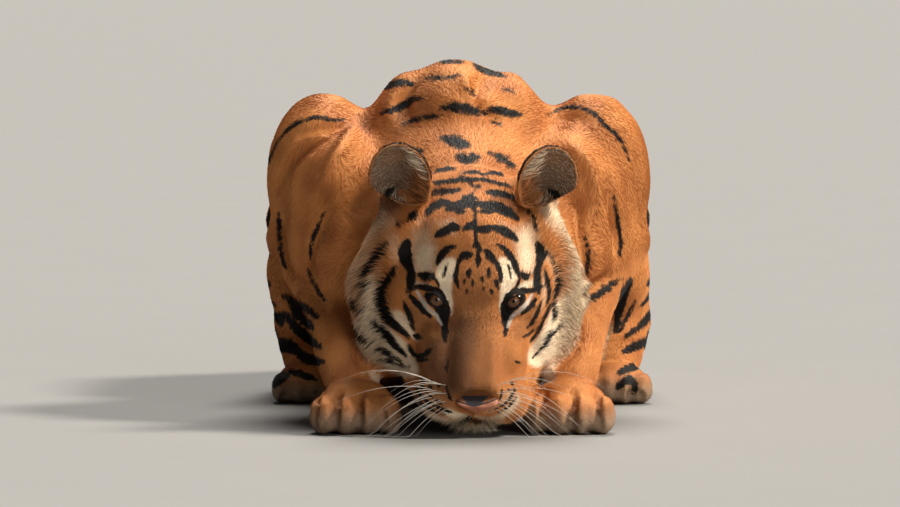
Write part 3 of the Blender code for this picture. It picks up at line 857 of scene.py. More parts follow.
# Amount and softness, then an outline on the sighting plane: the brows, inner corners of the eyes, cheeks,
# ruff, lids, temples, lips, whisker pads and chin
PALE_PATCHES = [
    (0.5, 16, (-60, 100), (-72, 112), (-92, 106), (-98, 84), (-92, 60), (-70, 60), (-58, 76)),
    (0.76, 14, (-57, 80), (-72, 88), (-92, 82), (-94, 60), (-91, 44), (-72, 38), (-60, 46), (-59, 62)),
    (0.7, 14, (56, 96), (74, 116), (92, 106), (95, 80), (88, 62), (70, 66), (60, 78)),
    (0.8, 13, (60, 78), (74, 86), (90, 82), (92, 62), (88, 42), (74, 40), (65, 48), (62, 64)),
    (1.0, 4, (-30, 64), (-46, 62), (-58, 46), (-57, 30), (-48, 12), (-40, -10), (-35, -22), (-33, -4),
     (-35, 20), (-31, 38), (-28, 52)),
    (1.0, 4, (36, 66), (50, 62), (63, 44), (62, 28), (52, 14), (45, 0), (41, -22), (36, -10), (37, 10),
     (38, 26), (36, 48)),
    (0.9, 7, (-142, 30), (-150, 42), (-160, 22), (-164, -8), (-176, -30), (-170, -60), (-142, -94),
     (-100, -116), (-84, -106), (-92, -82), (-104, -60), (-124, -42), (-138, -18), (-142, 2)),
    (0.48, 12, (-112, 130), (-145, 118), (-176, 88), (-188, 40), (-186, 0), (-170, 0), (-160, 50),
     (-146, 86), (-122, 108)),
    (0.42, 9, (-110, 100), (-128, 100), (-130, 70), (-118, 50), (-110, 54)),
    (0.8, 5, (-112, -14), (-124, -18), (-118, -34), (-104, -46), (-94, -56), (-84, -60), (-94, -40),
     (-102, -24)),
    (0.95, 7, (134, 50), (146, 54), (160, 20), (158, -20), (142, -54), (116, -84), (94, -100), (80, -94),
     (80, -76), (88, -62), (102, -38), (114, -12), (122, 2), (134, 20), (136, 40)),
    (0.74, 10, (92, 150), (112, 150), (132, 124), (150, 90), (156, 50), (140, 52), (130, 84), (112, 108),
     (100, 124)),
    (0.95, 9, (150, 40), (172, 10), (182, -30), (164, -76), (124, -108), (96, -110), (118, -84),
     (144, -54), (158, -20)),
    (0.6, 5, (100, 84), (110, 74), (118, 56), (122, 34), (121, 10), (118, 24), (112, 52), (104, 60)),
    (0.45, 6, (101, 50), (107, 42), (110, 20), (107, 0), (98, -22), (96, 0), (98, 30)),
    (0.62, 4, (-96, 34), (-82, 28), (-66, 24), (-58, 18), (-64, 15), (-78, 19), (-96, 24)),
    (0.8, 4, (60, 20), (74, 30), (88, 32), (90, 22), (76, 17), (62, 13)),
    (0.5, 12, (-84, 128), (-60, 118), (-30, 124), (-30, 96), (-60, 112), (-90, 116)),
    (0.5, 12, (30, 124), (60, 112), (86, 120), (88, 106), (60, 100), (34, 112)),
    (0.62, 3, (-92, -126), (-97, -140), (-86, -160), (-64, -177), (-36, -185), (-8, -178), (-6, -171),
     (-30, -176), (-56, -169), (-78, -153), (-88, -138)),
    (0.62, 3, (62, -136), (68, -147), (56, -166), (30, -181), (4, -176), (0, -170), (24, -172),
     (46, -160), (60, -144)),
    # the left whisker pad is kept less pale than the right as painted shade
    (0.22, 7, (-84, -122), (-88, -140), (-60, -164), (-28, -168), (-40, -148), (-62, -126)),
    (0.36, 7, (62, -128), (56, -150), (28, -168), (10, -166), (34, -146), (52, -130)),
    (0.9, 4, (-40, -160), (-26, -166), (-8, -171), (-8, -176), (-30, -176), (-48, -168)),
    (1.0, 6, (-76, -178), (-40, -184), (0, -185), (30, -180), (52, -186), (40, -230), (-66, -230)),
]
# The same for darker brown, partly the coat's own colour and partly painted shade: the bridge and
# muzzle, heavier down their left side as painted shade, the forehead and below the eyes, and painted
# shade below the ears
BROWN_AND_SHADE_PATCHES = [
    (0.46, 26, (-30, 50), (26, 50), (34, -60), (32, -100), (34, -146), (-40, -150), (-44, -60)),
    # painted shade down the left side of the bridge and muzzle
    (0.9, 24, (-44, -26), (-24, -12), (4, -12), (12, -44), (10, -80), (6, -100), (4, -142), (-30, -150),
     (-62, -140), (-84, -104), (-78, -60), (-62, -40)),
    # painted shade on the left whisker pad
    (0.45, 8, (-84, -122), (-92, -140), (-66, -168), (-30, -172), (-36, -148), (-58, -124)),
    (0.5, 12, (-36, -90), (20, -90), (30, -120), (30, -142), (-36, -146)),
    (0.25, 16, (-30, 100), (30, 100), (38, 20), (-38, 20)),
    (0.55, 9, (-104, -2), (-90, -8), (-60, -34), (-66, -64), (-90, -50), (-100, -26)),
    (0.35, 8, (58, -36), (88, -10), (94, -30), (76, -52), (60, -58)),
    # painted shade below each ear, where the ear shades the head
    (0.85, 10, (-158, 146), (-132, 146), (-116, 150), (-112, 136), (-134, 118), (-152, 108)),
    (0.6, 10, (116, 146), (128, 150), (140, 140), (134, 122), (120, 128)),
]


# Where the rows of stripes start and end, and how far apart they are, in millimetres
FLANK_ROW = range(-560, 180, 62)
HAUNCH_ROW = range(420, 150, -42)
SHANK_ROW = range(194, 40, -34)
SHOULDER_ROW = (-585, -500, -425)
BACK_ROW = range(-500, 210, 64)
REAR_ROW = range(430, 150, -44)


def flank_marks(surface, side, wobble):
    """Stripes down one flank, every third one short and every other one forked."""
    for number, start in enumerate(FLANK_ROW):
        lean = 26 + wobble(16)
        top, low = 470 + wobble(25), 228 + wobble(36)
        if number % 3 == 2:
            top = 330 + wobble(30)
        places = [(start + lean * (1 - step / 4) * 1.6 + wobble(9), drop)
                  for step, drop in enumerate(np.linspace(top, low, 5))]
        stroke(surface, side, 23 + wobble(5), *places)
        if number % 2:
            fork = [(across + 21 + wobble(3), up - 8) for across, up in places[1:4]]
            stroke(surface, side, 12, *fork)


def leg_marks(surface, side, wobble):
    """Stripes across one haunch and shank, and fine lines on the shoulder."""
    for number, up in enumerate(HAUNCH_ROW):
        reach = 292 - 8 * number
        places = [(345 - 6 * number, up + 14), (reach, up - 4 + wobble(8)),
                  (reach - 62 + wobble(14), up - 26)]
        stroke(surface, side, 20 + wobble(4), *places)
    for up in SHANK_ROW:
        bone = -143 + (SHANK_ROW.start - up) * 0.1
        stroke(surface, side, 17, (bone + 60, up + 12), (bone, up + wobble(6)), (bone - 60, up - 10))
    for start in SHOULDER_ROW:
        stroke(surface, side, 7, (start, 300), (start + 14, 240 + wobble(20)), (start + 4, 180))


def back_marks(surface, wobble):
    """Pairs of stripes that nearly meet along the spine, and others down the buttocks."""
    for start in BACK_ROW:
        for side in SIDES.values():
            start += wobble(9)
            inner, outer = 14 + wobble(10), 118 + wobble(34)
            skew = wobble(14)
            between = ((inner + outer) / 2 * side, start + 9 + skew)
            places = [(inner * side, start), between, (outer * side, start + 22 + skew)]
            stroke(surface, "above", 19 + wobble(5), *places)
    for up in REAR_ROW:
        for side in SIDES.values():
            places = [(38 * side, up), (95 * side, up - 6 + wobble(8)), (150 * side, up - 30)]
            stroke(surface, "behind", 16, *places)


TAIL_RINGS = [0.36 + 0.075 * number for number in range(11)]
TAIL_TIP_BLACK = 1.085
WIDENED = 1.15
LID_LINE = 2.6     # width of the black line round the eyes


def ring_tail(surface):
    along = surface.points[:, 1] - 0.5 * np.clip(surface.points[:, 2] - 0.06, 0, 1) + 0.10
    edge = np.full(len(along), FAR)
    for number, ring in enumerate(TAIL_RINGS):
        width = 9 + number * 1.2
        edge = np.minimum(edge, (np.abs(along - ring) / MM - width) * 0.8)
    edge = np.minimum(edge, (TAIL_TIP_BLACK - surface.points[:, 1]) / MM)
    ink = surface.fields["ink"]
    surface.fields["ink"] = np.where(surface.belongs(TAIL), np.minimum(ink, edge), ink)


def draw_marks(surface):
    """Draws every stripe, line and spot of the coat."""
    random = np.random.default_rng(11)

    def wobble(size):
        return random.uniform(-size, size)

    for width, *places in FACE_MARKS:
        stroke(surface, "front", width * WIDENED + 1, *places)
    for width, *places in BODY_MARKS:
        stroke(surface, "front", width * WIDENED + 1.6, *places, crisp=0.75)
    for width, *places in WHITE_MARKS:
        stroke(surface, "front", width, *places, field="white", blunt=0.35)
    surface.fields["ink"] = np.minimum(surface.fields["ink"], surface.fields["lid_gap"] - LID_LINE)
    for width, *places in SOFT_FACE_MARKS + SOFT_BODY_MARKS:
        stroke(surface, "front", width, *places, crisp=0.42)
    for side in SIDES:
        flank_marks(surface, side, wobble)
        leg_marks(surface, side, wobble)
    back_marks(surface, wobble)
    ring_tail(surface)


def shade_body(surface):
    """Pale under the body and tail and inside the legs, grey at the toes, darker along the spine, and
    painted shade in dark brown under the front of the chest.
    """
    x, y, z = surface.points.T
    down = -surface.normals[:, 2]
    trunk = surface.belongs(TRUNK)
    under = trunk * smoothstep(-0.1, 0.6, down) * smoothstep(0.34, 0.20, z)
    under = np.maximum(under, trunk * smoothstep(0.17, 0.09, z)) * smoothstep(-0.70, -0.60, y)
    inner = surface.belongs(LIMB_PARTS) * smoothstep(0.25, 0.85, -np.sign(x) * surface.normals[:, 0])
    inner = inner * smoothstep(0.33, 0.24, z) * smoothstep(0.20, 0.12, z)
    toes = surface.belongs(PAWS) * smoothstep(0.062, 0.012, z)
    # painted shade under the front of the chest: dark brown there instead of the pale underside
    keel = surface.fields["keel"] * smoothstep(-0.50, -0.62, y)
    spine = trunk * smoothstep(0.30, 0.95, -down) * smoothstep(-0.62, -0.40, y)
    for values in (under * 0.9 * (1 - keel), inner * 0.8, toes * 0.45, surface.fields["ruff"] * 0.35,
                   surface.belongs(TAIL) * smoothstep(0.1, 0.8, down) * 0.7,
                   surface.belongs(["lower_jaw"]) * 1.0):
        surface.raised("pale", values)
    for values in (keel, toes * 0.35, spine * 0.45):
        surface.raised("brown_and_shade", values)
    surface.raised("ash", toes * 0.50)


def paint(surface):
    """Lays down the fields that the finishes read: ink, white, pale, ash, and a dark brown that also carries
    painted shade.
    """
    size = len(surface.points)
    for key in ("ink", "white"):
        surface.fields[key] = np.full(size, FAR)
    for key in ("pale", "brown_and_shade", "ash"):
        surface.fields[key] = np.zeros(size)
    surface.fields["seen"] = on_sighting_plane(surface.points) - BROW_SIGHT
    facing = surface.normals @ np.array(-LOOK_FORWARD)
    surface.fields["on_face"] = (surface.fields["head"] > 0.3) & (facing > -0.35)
    draw_marks(surface)
    for field, patches in (("pale", PALE_PATCHES), ("brown_and_shade", BROWN_AND_SHADE_PATCHES)):
        for amount, soft, *outline in patches:
            patch(surface, field, amount, soft, *outline)
    shade_body(surface)
    for key in ("pale", "brown_and_shade", "ash"):
        surface.fields[key] = surface.blurred(surface.fields[key], 2)
    for key in ("ink", "white"):
        surface.fields[key] = np.clip(surface.fields[key], -FAR, FAR)


# Finishes

class Signal:
    """A shader socket on which ordinary arithmetic adds Math nodes."""

    def __init__(self, finish, socket):
        self.finish = finish
        self.socket = socket

    def math(self, operation, first, second):
        return self.finish.node("ShaderNodeMath", {"operation": operation}, {0: first, 1: second})

    def __add__(self, other):
        return self.math("ADD", self, other)

    def __sub__(self, other):
        return self.math("SUBTRACT", self, other)

    def __mul__(self, other):
        return self.math("MULTIPLY", self, other)

    __radd__ = __add__
    __rmul__ = __mul__


class Finish:
    """One material, built up from nodes and set on its main shader."""

    def __init__(self, name, **constants):
        self.material = bpy.data.materials.new(name)
        self.material.use_nodes = True
        self.tree = self.material.node_tree
        self.shader = self.tree.nodes["Principled BSDF"]
        for key, value in constants.items():
            self.shader.inputs[key.replace("_", " ")].default_value = value

    def node(self, kind, settings=None, sockets=None, output=0):
        made = self.tree.nodes.new(kind)
        for key, value in (settings or {}).items():
            setattr(made, key, value)
        for key, value in (sockets or {}).items():
            if isinstance(value, Signal):
                self.tree.links.new(value.socket, made.inputs[key])
            else:
                made.inputs[key].default_value = value
        return Signal(self, made.outputs[output])

    def field(self, name):
        return self.node("ShaderNodeAttribute", {"attribute_name": name}, output="Fac")

    def place(self):
        return self.node("ShaderNodeAttribute", {"attribute_name": "root"}, output="Vector")

    def noise(self, place, scale, detail=2.0, rough=0.5):
        return self.node("ShaderNodeTexNoise", {}, {"Vector": place, "Scale": scale, "Detail": detail,
                                                    "Roughness": rough}, "Fac")

    def between(self, value, low, high):
        """A smooth step from 0 to 1 as value goes from low to high."""
        return self.node("ShaderNodeMapRange", {"interpolation_type": "SMOOTHSTEP"}, {
            "Value": value, "From Min": low, "From Max": high})

    def mix(self, amount, first, second):
        return self.node("ShaderNodeMix", {"data_type": "RGBA"}, {0: amount, 6: first, 7: second}, 2)

    def scaled(self, colour, value):
        return self.node("ShaderNodeVectorMath", {"operation": "SCALE"}, {0: colour, "Scale": value})

    def set(self, **signals):
        for key, signal in signals.items():
            self.tree.links.new(signal.socket, self.shader.inputs[key.replace("_", " ")])

    def roughened(self, height, strength, distance):
        self.set(Normal=self.node("ShaderNodeBump", {}, {"Strength": strength, "Distance": distance,
                                                         "Height": height}))


ORANGE = (0.580, 0.232, 0.069, 1)
RUST = (0.440, 0.155, 0.045, 1)
CREAM = (0.860, 0.700, 0.500, 1)
WHITE = (0.560, 0.490, 0.410, 1)
# dark brown, also the colour of painted shade
BROWN_AND_SHADE = (0.120, 0.052, 0.026, 1)
ASH = (0.170, 0.135, 0.100, 1)
BLACK = (0.010, 0.008, 0.007, 1)
AMBER, LIGHT_AMBER = (0.085, 0.034, 0.013, 1), (0.150, 0.064, 0.026, 1)
IRIS_RIM, PUPIL, EYE_SURROUND = (0.030, 0.012, 0.006, 1), (0.006, 0.004, 0.003, 1), (0.010, 0.007, 0.006, 1)
LEATHER, DARK_LEATHER = (0.50, 0.20, 0.115, 1), (0.38, 0.14, 0.08, 1)
NOSE_CORNER, NOSE_PATCH = (0.210, 0.080, 0.032, 1), (0.035, 0.029, 0.032, 1)
# painted shade in the nostrils
NOSTRIL_SHADE = (0.006, 0.004, 0.004, 1)
BRISTLE, DARK_BRISTLE = (0.85, 0.80, 0.72, 1), (0.70, 0.62, 0.52, 1)
FLOOR_DARK, FLOOR_LIGHT = (0.195, 0.193, 0.188, 1), (0.205, 0.203, 0.198, 1)


def coat_finish():
    """Orange, cream and black hair, its edges ragged and its shade uneven, with painted shade mixed in as
    dark brown.
    """
    finish = Finish("tiger_coat", Roughness=0.66, Specular_IOR_Level=0.14)
    root = finish.place()
    fine = finish.noise(root, 620)
    broad = finish.noise(root, 16, 3)
    tuft = finish.field("tuft")
    orange = finish.mix(finish.between(broad, 0.35, 0.70), ORANGE, RUST)
    # darker brown, together with the painted shade laid on the skin and the ears
    colour = finish.mix(finish.field("brown_and_shade"), orange, BROWN_AND_SHADE)
    pale = finish.between(finish.field("pale") + (fine - 0.5) * 0.4 + (tuft - 0.5) * 0.15, 0.08, 0.92)
    colour = finish.mix(pale, colour, CREAM)
    colour = finish.mix(finish.field("ash"), colour, ASH)
    colour = finish.scaled(colour, 0.68 + 0.26 * fine + 0.30 * tuft)
    wander = finish.noise(root, 130)
    ragged = finish.field("ink") + (fine - 0.5) * 4.0 + (wander - 0.5) * 7.0 + (tuft - 0.5) * 1.2
    colour = finish.mix(finish.between(ragged, -1.0, 1.0), BLACK, colour)
    streak = finish.field("white") + (fine - 0.5) * 4.5
    colour = finish.mix(finish.between(streak, -1.8, 1.6), WHITE, colour)
    finish.set(Base_Color=colour)
    hair = finish.noise(root, 900, rough=0.6)
    finish.roughened(hair, 0.5, 0.0012)
    return finish.material


def eye_finish():
    """An amber iris round a black pupil, in a dark surround, under a wet gloss."""
    finish = Finish("tiger_eye", Roughness=0.10, Specular_IOR_Level=0.30)
    ring = finish.field("ring")
    streaks = finish.noise(finish.place(), 700, 3)
    iris = finish.mix(finish.between(streaks, 0.3, 0.7), AMBER, LIGHT_AMBER)
    iris = finish.mix(finish.between(ring, 7.6, 9.6), iris, IRIS_RIM)
    colour = finish.mix(finish.between(ring, 2.0, 3.2), PUPIL, iris)
    colour = finish.mix(finish.between(ring, 9.6, 10.4), colour, EYE_SURROUND)
    finish.set(Base_Color=colour)
    return finish.material


def nose_finish():
    """Damp leather: dull pink below, a dark grey patch on top between brown corners, and painted shade, near
    black, in the nostril dents.
    """
    finish = Finish("nose_leather", Roughness=0.55, Specular_IOR_Level=0.25)
    root = finish.place()
    cells = finish.node("ShaderNodeTexVoronoi", {}, {"Vector": root, "Scale": 520})
    mottle = finish.noise(root, 90, 3)
    colour = finish.mix(finish.between(mottle, 0.35, 0.7), LEATHER, DARK_LEATHER)
    colour = finish.mix(finish.field("furred"), colour, NOSE_CORNER)
    dark = finish.between(finish.field("upper") + (mottle - 0.5) * 0.3, 0.35, 0.75)
    colour = finish.mix(dark, colour, NOSE_PATCH)
    # painted shade in the shallow nostril dents
    colour = finish.mix(finish.field("hole"), colour, NOSTRIL_SHADE)
    finish.set(Base_Color=colour)
    finish.roughened(cells, 0.5, 0.0006)
    return finish.material


def whisker_finish():
    finish = Finish("whiskers", Roughness=0.35, Specular_IOR_Level=0.5)
    tone = finish.noise(finish.place(), 30)
    finish.set(Base_Color=finish.mix(tone, BRISTLE, DARK_BRISTLE))
    return finish.material


# The coat: tufts of hair as thin solid spikes

MARKING_FIELDS = ("ink", "white", "pale", "brown_and_shade", "ash")
BAKE_PATCH = 0.0015      # half across, on the unwrap
UNWRAP_FACES = 9000
BEND = 0.28


def unwrapped(surface):
    """A coarse copy of the skin, unwrapped, on which each tuft finds its own place."""
    ratio = UNWRAP_FACES / len(surface.mesh.polygons)
    mesh = worked(surface.mesh.copy(), ("DECIMATE", {"ratio": ratio}), ("TRIANGULATE", {}))
    obj = placed("unwrap", mesh)
    bpy.context.view_layer.objects.active = obj
    obj.select_set(True)
    bpy.ops.object.mode_set(mode="EDIT")
    bpy.ops.mesh.select_all(action="SELECT")
    bpy.ops.uv.smart_project(angle_limit=math.radians(66), island_margin=0.004)
    bpy.ops.object.mode_set(mode="OBJECT")
    corners = read(mesh.uv_layers[0].uv, "vector", 2).reshape(-1, 3, 2)
    points = read(mesh.vertices, "co", 3)
    faces = read(mesh.loops, "vertex_index", 1, np.int32).reshape(-1, 3)
    tree = BVHTree.FromPolygons(points.tolist(), faces.tolist())
    bpy.data.objects.remove(obj, do_unlink=True)
    bpy.data.meshes.remove(mesh)
    return points, faces, corners, tree


def bake_places(chart, roots):
    """Each root's place on the unwrap."""
    points, faces, corners, tree = chart
    nearest = np.array([tree.find_nearest(root)[2] for root in roots.tolist()])
    weights = shares(points[faces[nearest]], roots)
    return np.clip((corners[nearest] * weights[:, :, None]).sum(1), 0.003, 0.997)


def scattered(surface, density, random):
    """Roots spread over the surface as densely as asked, as triangles and weights of their corners."""
    triangles = read(surface.mesh.loop_triangles, "vertices", 3, np.int32)
    a, b, c = (surface.points[triangles[:, corner]] for corner in range(3))
    area = np.linalg.norm(np.cross(b - a, c - a), axis=1) / 2
    share = np.cumsum(area * density[triangles].mean(1))
    count = int(share[-1])
    steps = (np.arange(count) + random.random(count)) / count * share[-1]
    chosen = np.minimum(np.searchsorted(share, steps), len(triangles) - 1)
    first, second = np.sqrt(random.random(count)), random.random(count)
    weights = np.stack([1 - first, first * (1 - second), first * second], 1)
    return triangles[chosen], weights


BLADE_TURNS = [math.radians(turn) for turn in (270, 30, 150)]     # so that the broad face looks outward
BURIED = 0.0008
STRAIGHT_FACES = [[0, 1, 3], [1, 2, 3], [2, 0, 3]]
BENT_FACES = [[0, 1, 4], [0, 4, 3], [1, 2, 5], [1, 5, 4], [2, 0, 3], [2, 3, 5],
              [3, 4, 6], [4, 5, 6], [5, 3, 6]]


def spikes(roots, outward, along, length, width, lift, bend):
    """Points and faces of three-sided spikes; bent ones have a ring of points halfway."""
    side = np.cross(outward, along)

    def way(angle):
        return along * np.cos(angle)[:, None] + outward * np.sin(angle)[:, None]

    def ring(centre, radius):
        up = np.cross(side, way(lift + bend))
        return [centre + (side * math.cos(turn) + up * math.sin(turn)) * radius[:, None]
                for turn in BLADE_TURNS]

    rings, faces = ring(roots - outward * BURIED, width / 2), STRAIGHT_FACES
    tip = roots + way(lift) * length[:, None]
    if bend:
        halfway = roots + way(lift + bend) * (length * 0.5)[:, None]
        tip = halfway + way(lift - bend) * (length * 0.5)[:, None]
        rings, faces = rings + ring(halfway, width * 0.36), BENT_FACES
    points = np.stack([*rings, tip], 1)
    each = points.shape[1]
    faces = np.array(faces)[None] + each * np.arange(len(roots))[:, None, None]
    return points.reshape(-1, 3), faces.reshape(-1, 3), each


def bake_corners(chart, roots, each):
    """The place on the unwrap of every point of each tuft: a small patch round that of its root."""
    turns = np.arange(each) * (2 * math.pi / 3)
    patch = np.stack([np.cos(turns), np.sin(turns)], 1) * BAKE_PATCH * np.linspace(1, 0, each)[:, None]
    places = bake_places(chart, roots)
    return (places[:, None] + patch).reshape(-1, 2)


def store_fields(surface, tuft, shades):
    """Stores on a bare surface what the coat's finish reads, with shades added to some fields."""
    for key in MARKING_FIELDS:
        set_field(surface.mesh, key, surface.fields[key] + shades.get(key, 0))
    set_field(surface.mesh, "root", surface.points)
    set_field(surface.mesh, "tuft", np.full(len(surface.points), tuft))


def lay_coat(name, surface, density, chart, material, seed,
             bend=0.0, spread=0.09, rooted=0.3):
    """Covers part of a surface in tufts, marked as the surface is at their roots and their ends."""
    random = np.random.default_rng(seed)
    corners, weights = scattered(surface, density, random)
    count = len(corners)

    def at_roots(values):
        return blended(values, corners, weights)

    roots, outward = at_roots(surface.points), unit(at_roots(surface.normals))
    lie = unit(at_roots(surface.fields["lie"]) + random.normal(0, spread, roots.shape))
    along = unit(lie - (lie * outward).sum(1, keepdims=True) * outward)
    length = at_roots(surface.fields["length"]) * MM * random.uniform(0.7, 1.25, count)
    width = at_roots(surface.fields["width"]) * MM * random.uniform(0.75, 1.2, count)
    lift = at_roots(surface.fields["lift"]) * random.uniform(0.6, 1.4, count)
    points, faces, each = spikes(roots, outward, along, length, width, lift, bend)
    points[:, 2] = np.maximum(points[:, 2], FLOOR_GAP)
    mesh = mesh_from(name, points, faces, smooth=bend > 0)
    steps = np.linspace(0, 1, each // 3 + 1)[np.arange(each) // 3]
    ends = surface.nearest(roots + along * (length * 0.8)[:, None])
    for key in MARKING_FIELDS:
        start, stop = at_roots(surface.fields[key]), blended(surface.fields[key], *ends)
        stop = start * rooted + stop * (1 - rooted)
        set_field(mesh, key, (start[:, None] * (1 - steps) + stop[:, None] * steps).reshape(-1))
    set_field(mesh, "root", np.repeat(roots, each, axis=0))
    set_field(mesh, "tuft", np.repeat(random.random(count), each))
    unwrap = bake_corners(chart, roots, each)[faces.ravel()]
    mesh.uv_layers.new(name="OFBake").uv.foreach_set("vector", unwrap.astype(np.float32).ravel())
    add_piece(name, mesh, material)


COATS = {
    "neck": ["neck"], "chest": ["chest"], "belly": ["belly"], "rump": ["rump"], "tail": TAIL,
    "shoulders": LIMB_PARTS[0:2], "forearms": LIMB_PARTS[2:4], "thighs": LIMB_PARTS[4:6],
    "shanks": LIMB_PARTS[6:8], "front_paws": PAWS[:2], "hind_paws": PAWS[2:],
}


def lay_coats(surface, chart, material):
    """The coat of each part, clear of the eyes, the nose and the floor."""
    clear = np.ones(len(surface.points))
    for eye in EYES.values():
        gap = np.linalg.norm(surface.points - np.array(eye), axis=1)
        clear *= smoothstep(0.0225, 0.0260, gap)
    nose_gap = np.linalg.norm((surface.points - np.array(NOSE)) / np.array([1.9, 1, 1]), axis=1)
    clear *= smoothstep(0.012, 0.016, nose_gap)
    clear *= smoothstep(0.001, 0.004, surface.points[:, 2])
    density = surface.fields["thick"] * clear
    ruff = surface.fields["ruff"]
    head = density * surface.belongs(HEAD_PARTS)
    lay_coat("coat_face", surface, head * (1 - ruff), chart, material, 21)
    lay_coat("coat_ruff", surface, head * ruff, chart, material, 22, bend=BEND, rooted=0.7)
    for number, (name, nodes) in enumerate(COATS.items()):
        lay_coat("coat_" + name, surface, density * surface.belongs(nodes), chart, material, 30 + number)


# Ears

EAR_VOXEL = 0.0018
EAR_HOLLOW, EAR_SINK = 0.035, 0.034
EAR_DENSITY = 160000     # tufts to the square metre
# partly the skin's own darker colour and partly painted shade inside the ear's cup
EAR_SHADES = {"pale": -0.80, "brown_and_shade": 0.60, "ash": 0.15}     # how the skin differs from the hair over it


def shape_ear(name, turn):
    """A thin cup whose lower lip sinks into the head, and the directions out and up across it."""
    ear = Surface(worked(mesh_of_nodes([name], 0.0002), remesh(EAR_VOXEL), smoothing(6)))
    centre, left, above = np.array(middle(name)), np.array(HEAD_LEFT) * turn, np.array(HEAD_UP)
    opening = unit(np.array(HEAD_FORWARD) * 0.75 + left * 0.35 + above * 0.15)
    upward = unit(above - opening * (above @ opening))
    outward = np.cross(upward, opening) * turn
    gap = ear.points - centre
    facing = ear.blurred((unit(centre + opening * EAR_HOLLOW - ear.points) * ear.normals).sum(1), 3)
    ear.fields.update(inside=smoothstep(0.0, 0.5, facing), behind=smoothstep(-0.10, -0.45, facing),
                      rise=gap @ upward, out=gap @ outward)
    sink = smoothstep(-0.004, -0.044, ear.fields["rise"])
    ear.points = ear.points - opening * (sink * EAR_SINK)[:, None]
    ear.refresh()
    return ear, outward, upward


def paint_ear(ear):
    """Dark behind with a white spot, grey inside with painted shade darkening the hollow and the lower outer
    pocket, orange along the inner edge.
    """
    inside, behind, rise, out = (ear.fields[key] for key in ("inside", "behind", "rise", "out"))
    spot = behind * smoothstep(0.022, 0.014, np.hypot(out, rise - 0.006))
    orange_edge = smoothstep(0.012, 0.034, -out) * smoothstep(0.030, 0.0, rise)
    # hollow and pocket: where painted shade darkens the cup, in its middle and its lower outer corner
    hollow = inside * smoothstep(1.25, 0.2, np.hypot((out - 0.004) / 0.034, (rise + 0.014) / 0.038))
    pocket = smoothstep(0.008, 0.016, out) * smoothstep(-0.025, -0.031, rise)
    medial = smoothstep(0.006, 0.026, -out) * smoothstep(0.030, 0.004, rise)
    grey = inside * (1 - medial)
    ear.fields["ink"] = 8 - 16 * behind * (1 - spot) * (1 - orange_edge) - 5.5 * hollow - 12 * pocket
    ear.fields["white"] = np.full(len(rise), FAR)
    ear.fields["pale"] = np.clip(grey * (0.95 - 0.35 * hollow) + spot, 0, 1)
    ear.fields["ash"] = grey * (0.10 + 0.20 * smoothstep(-0.01, 0.03, out))
    ear.fields["brown_and_shade"] = inside * (medial * 0.35 + hollow * 0.65)
    ear.fields["shade"] = inside * (1 - medial * 0.6)
    ear.fields["thick"] = (EAR_DENSITY * (1 - inside * (0.58 + 0.22 * hollow))
                           * smoothstep(-0.052, -0.036, rise))


def plan_ear_hair(ear, outward, upward):
    """Long hair from the inner edge across the opening, short hair elsewhere."""
    inside, out = ear.fields["inside"], ear.fields["out"]
    across = (outward * 0.85 + upward * 0.45)[None] * smoothstep(0.022, -0.010, out)[:, None]
    inward = (upward * 0.8 - outward * 0.5)[None] * smoothstep(-0.010, 0.022, out)[:, None]
    ear.fields["lie"] = unit(across + inward)
    ear.fields["length"] = 5 + inside * (4 + 22 * smoothstep(-0.004, -0.026, out))
    ear.fields["width"] = 0.9 - inside * 0.30
    ear.fields["lift"] = 0.22 + inside * 0.38


def add_ear(side, chart, material):
    ear, outward, upward = shape_ear("ear_" + side, SIDES[side])
    paint_ear(ear)
    plan_ear_hair(ear, outward, upward)
    store_fields(ear, 0.5, {key: amount * ear.fields["shade"] for key, amount in EAR_SHADES.items()})
    add_piece("ear_skin_" + side, ear.mesh, material, ["ear_" + side])
    lay_coat("ear_hair_" + side, ear, ear.fields["thick"], chart, material, 51 + SIDES[side],
             bend=BEND, spread=0.22, rooted=0.8)


# Eyes, nose and whiskers

def add_eye(side, material):
    """A polished ball whose rings round the line of sight carry the iris and pupil."""
    centre = np.array(EYES[side])
    gaze = Vector(unit(np.array(ONLOOKER) - centre))
    bm = bmesh.new()
    bmesh.ops.create_uvsphere(bm, u_segments=48, v_segments=40, radius=EYE_RADIUS)
    turn = gaze.to_track_quat("Z", "Y").to_matrix().to_4x4()
    bm.transform(Matrix.Translation(centre) @ turn)
    mesh = faces_in_order(finished(bm, "eyeball_" + side))
    mesh.shade_smooth()
    points = read(mesh.vertices, "co", 3)
    angle = np.arccos(np.clip((points - centre) @ np.array(gaze) / EYE_RADIUS, -1, 1))
    set_field(mesh, "ring", angle * EYE_RADIUS / MM)
    set_field(mesh, "root", points)
    add_piece("eyeball_" + side, mesh, material, ["eye_" + side])


NOSE_SIZE = (0.0155, 0.0310, 0.0150)
NOSE_SHIFT = (-0.0005, 0.0, -0.0035)
NOSTRIL = (0.58, -0.34)     # out and up, as shares of the pad
NOSE_EDGE, NOSE_TOP = -157, -142     # heights on the sighting plane of the dark patch


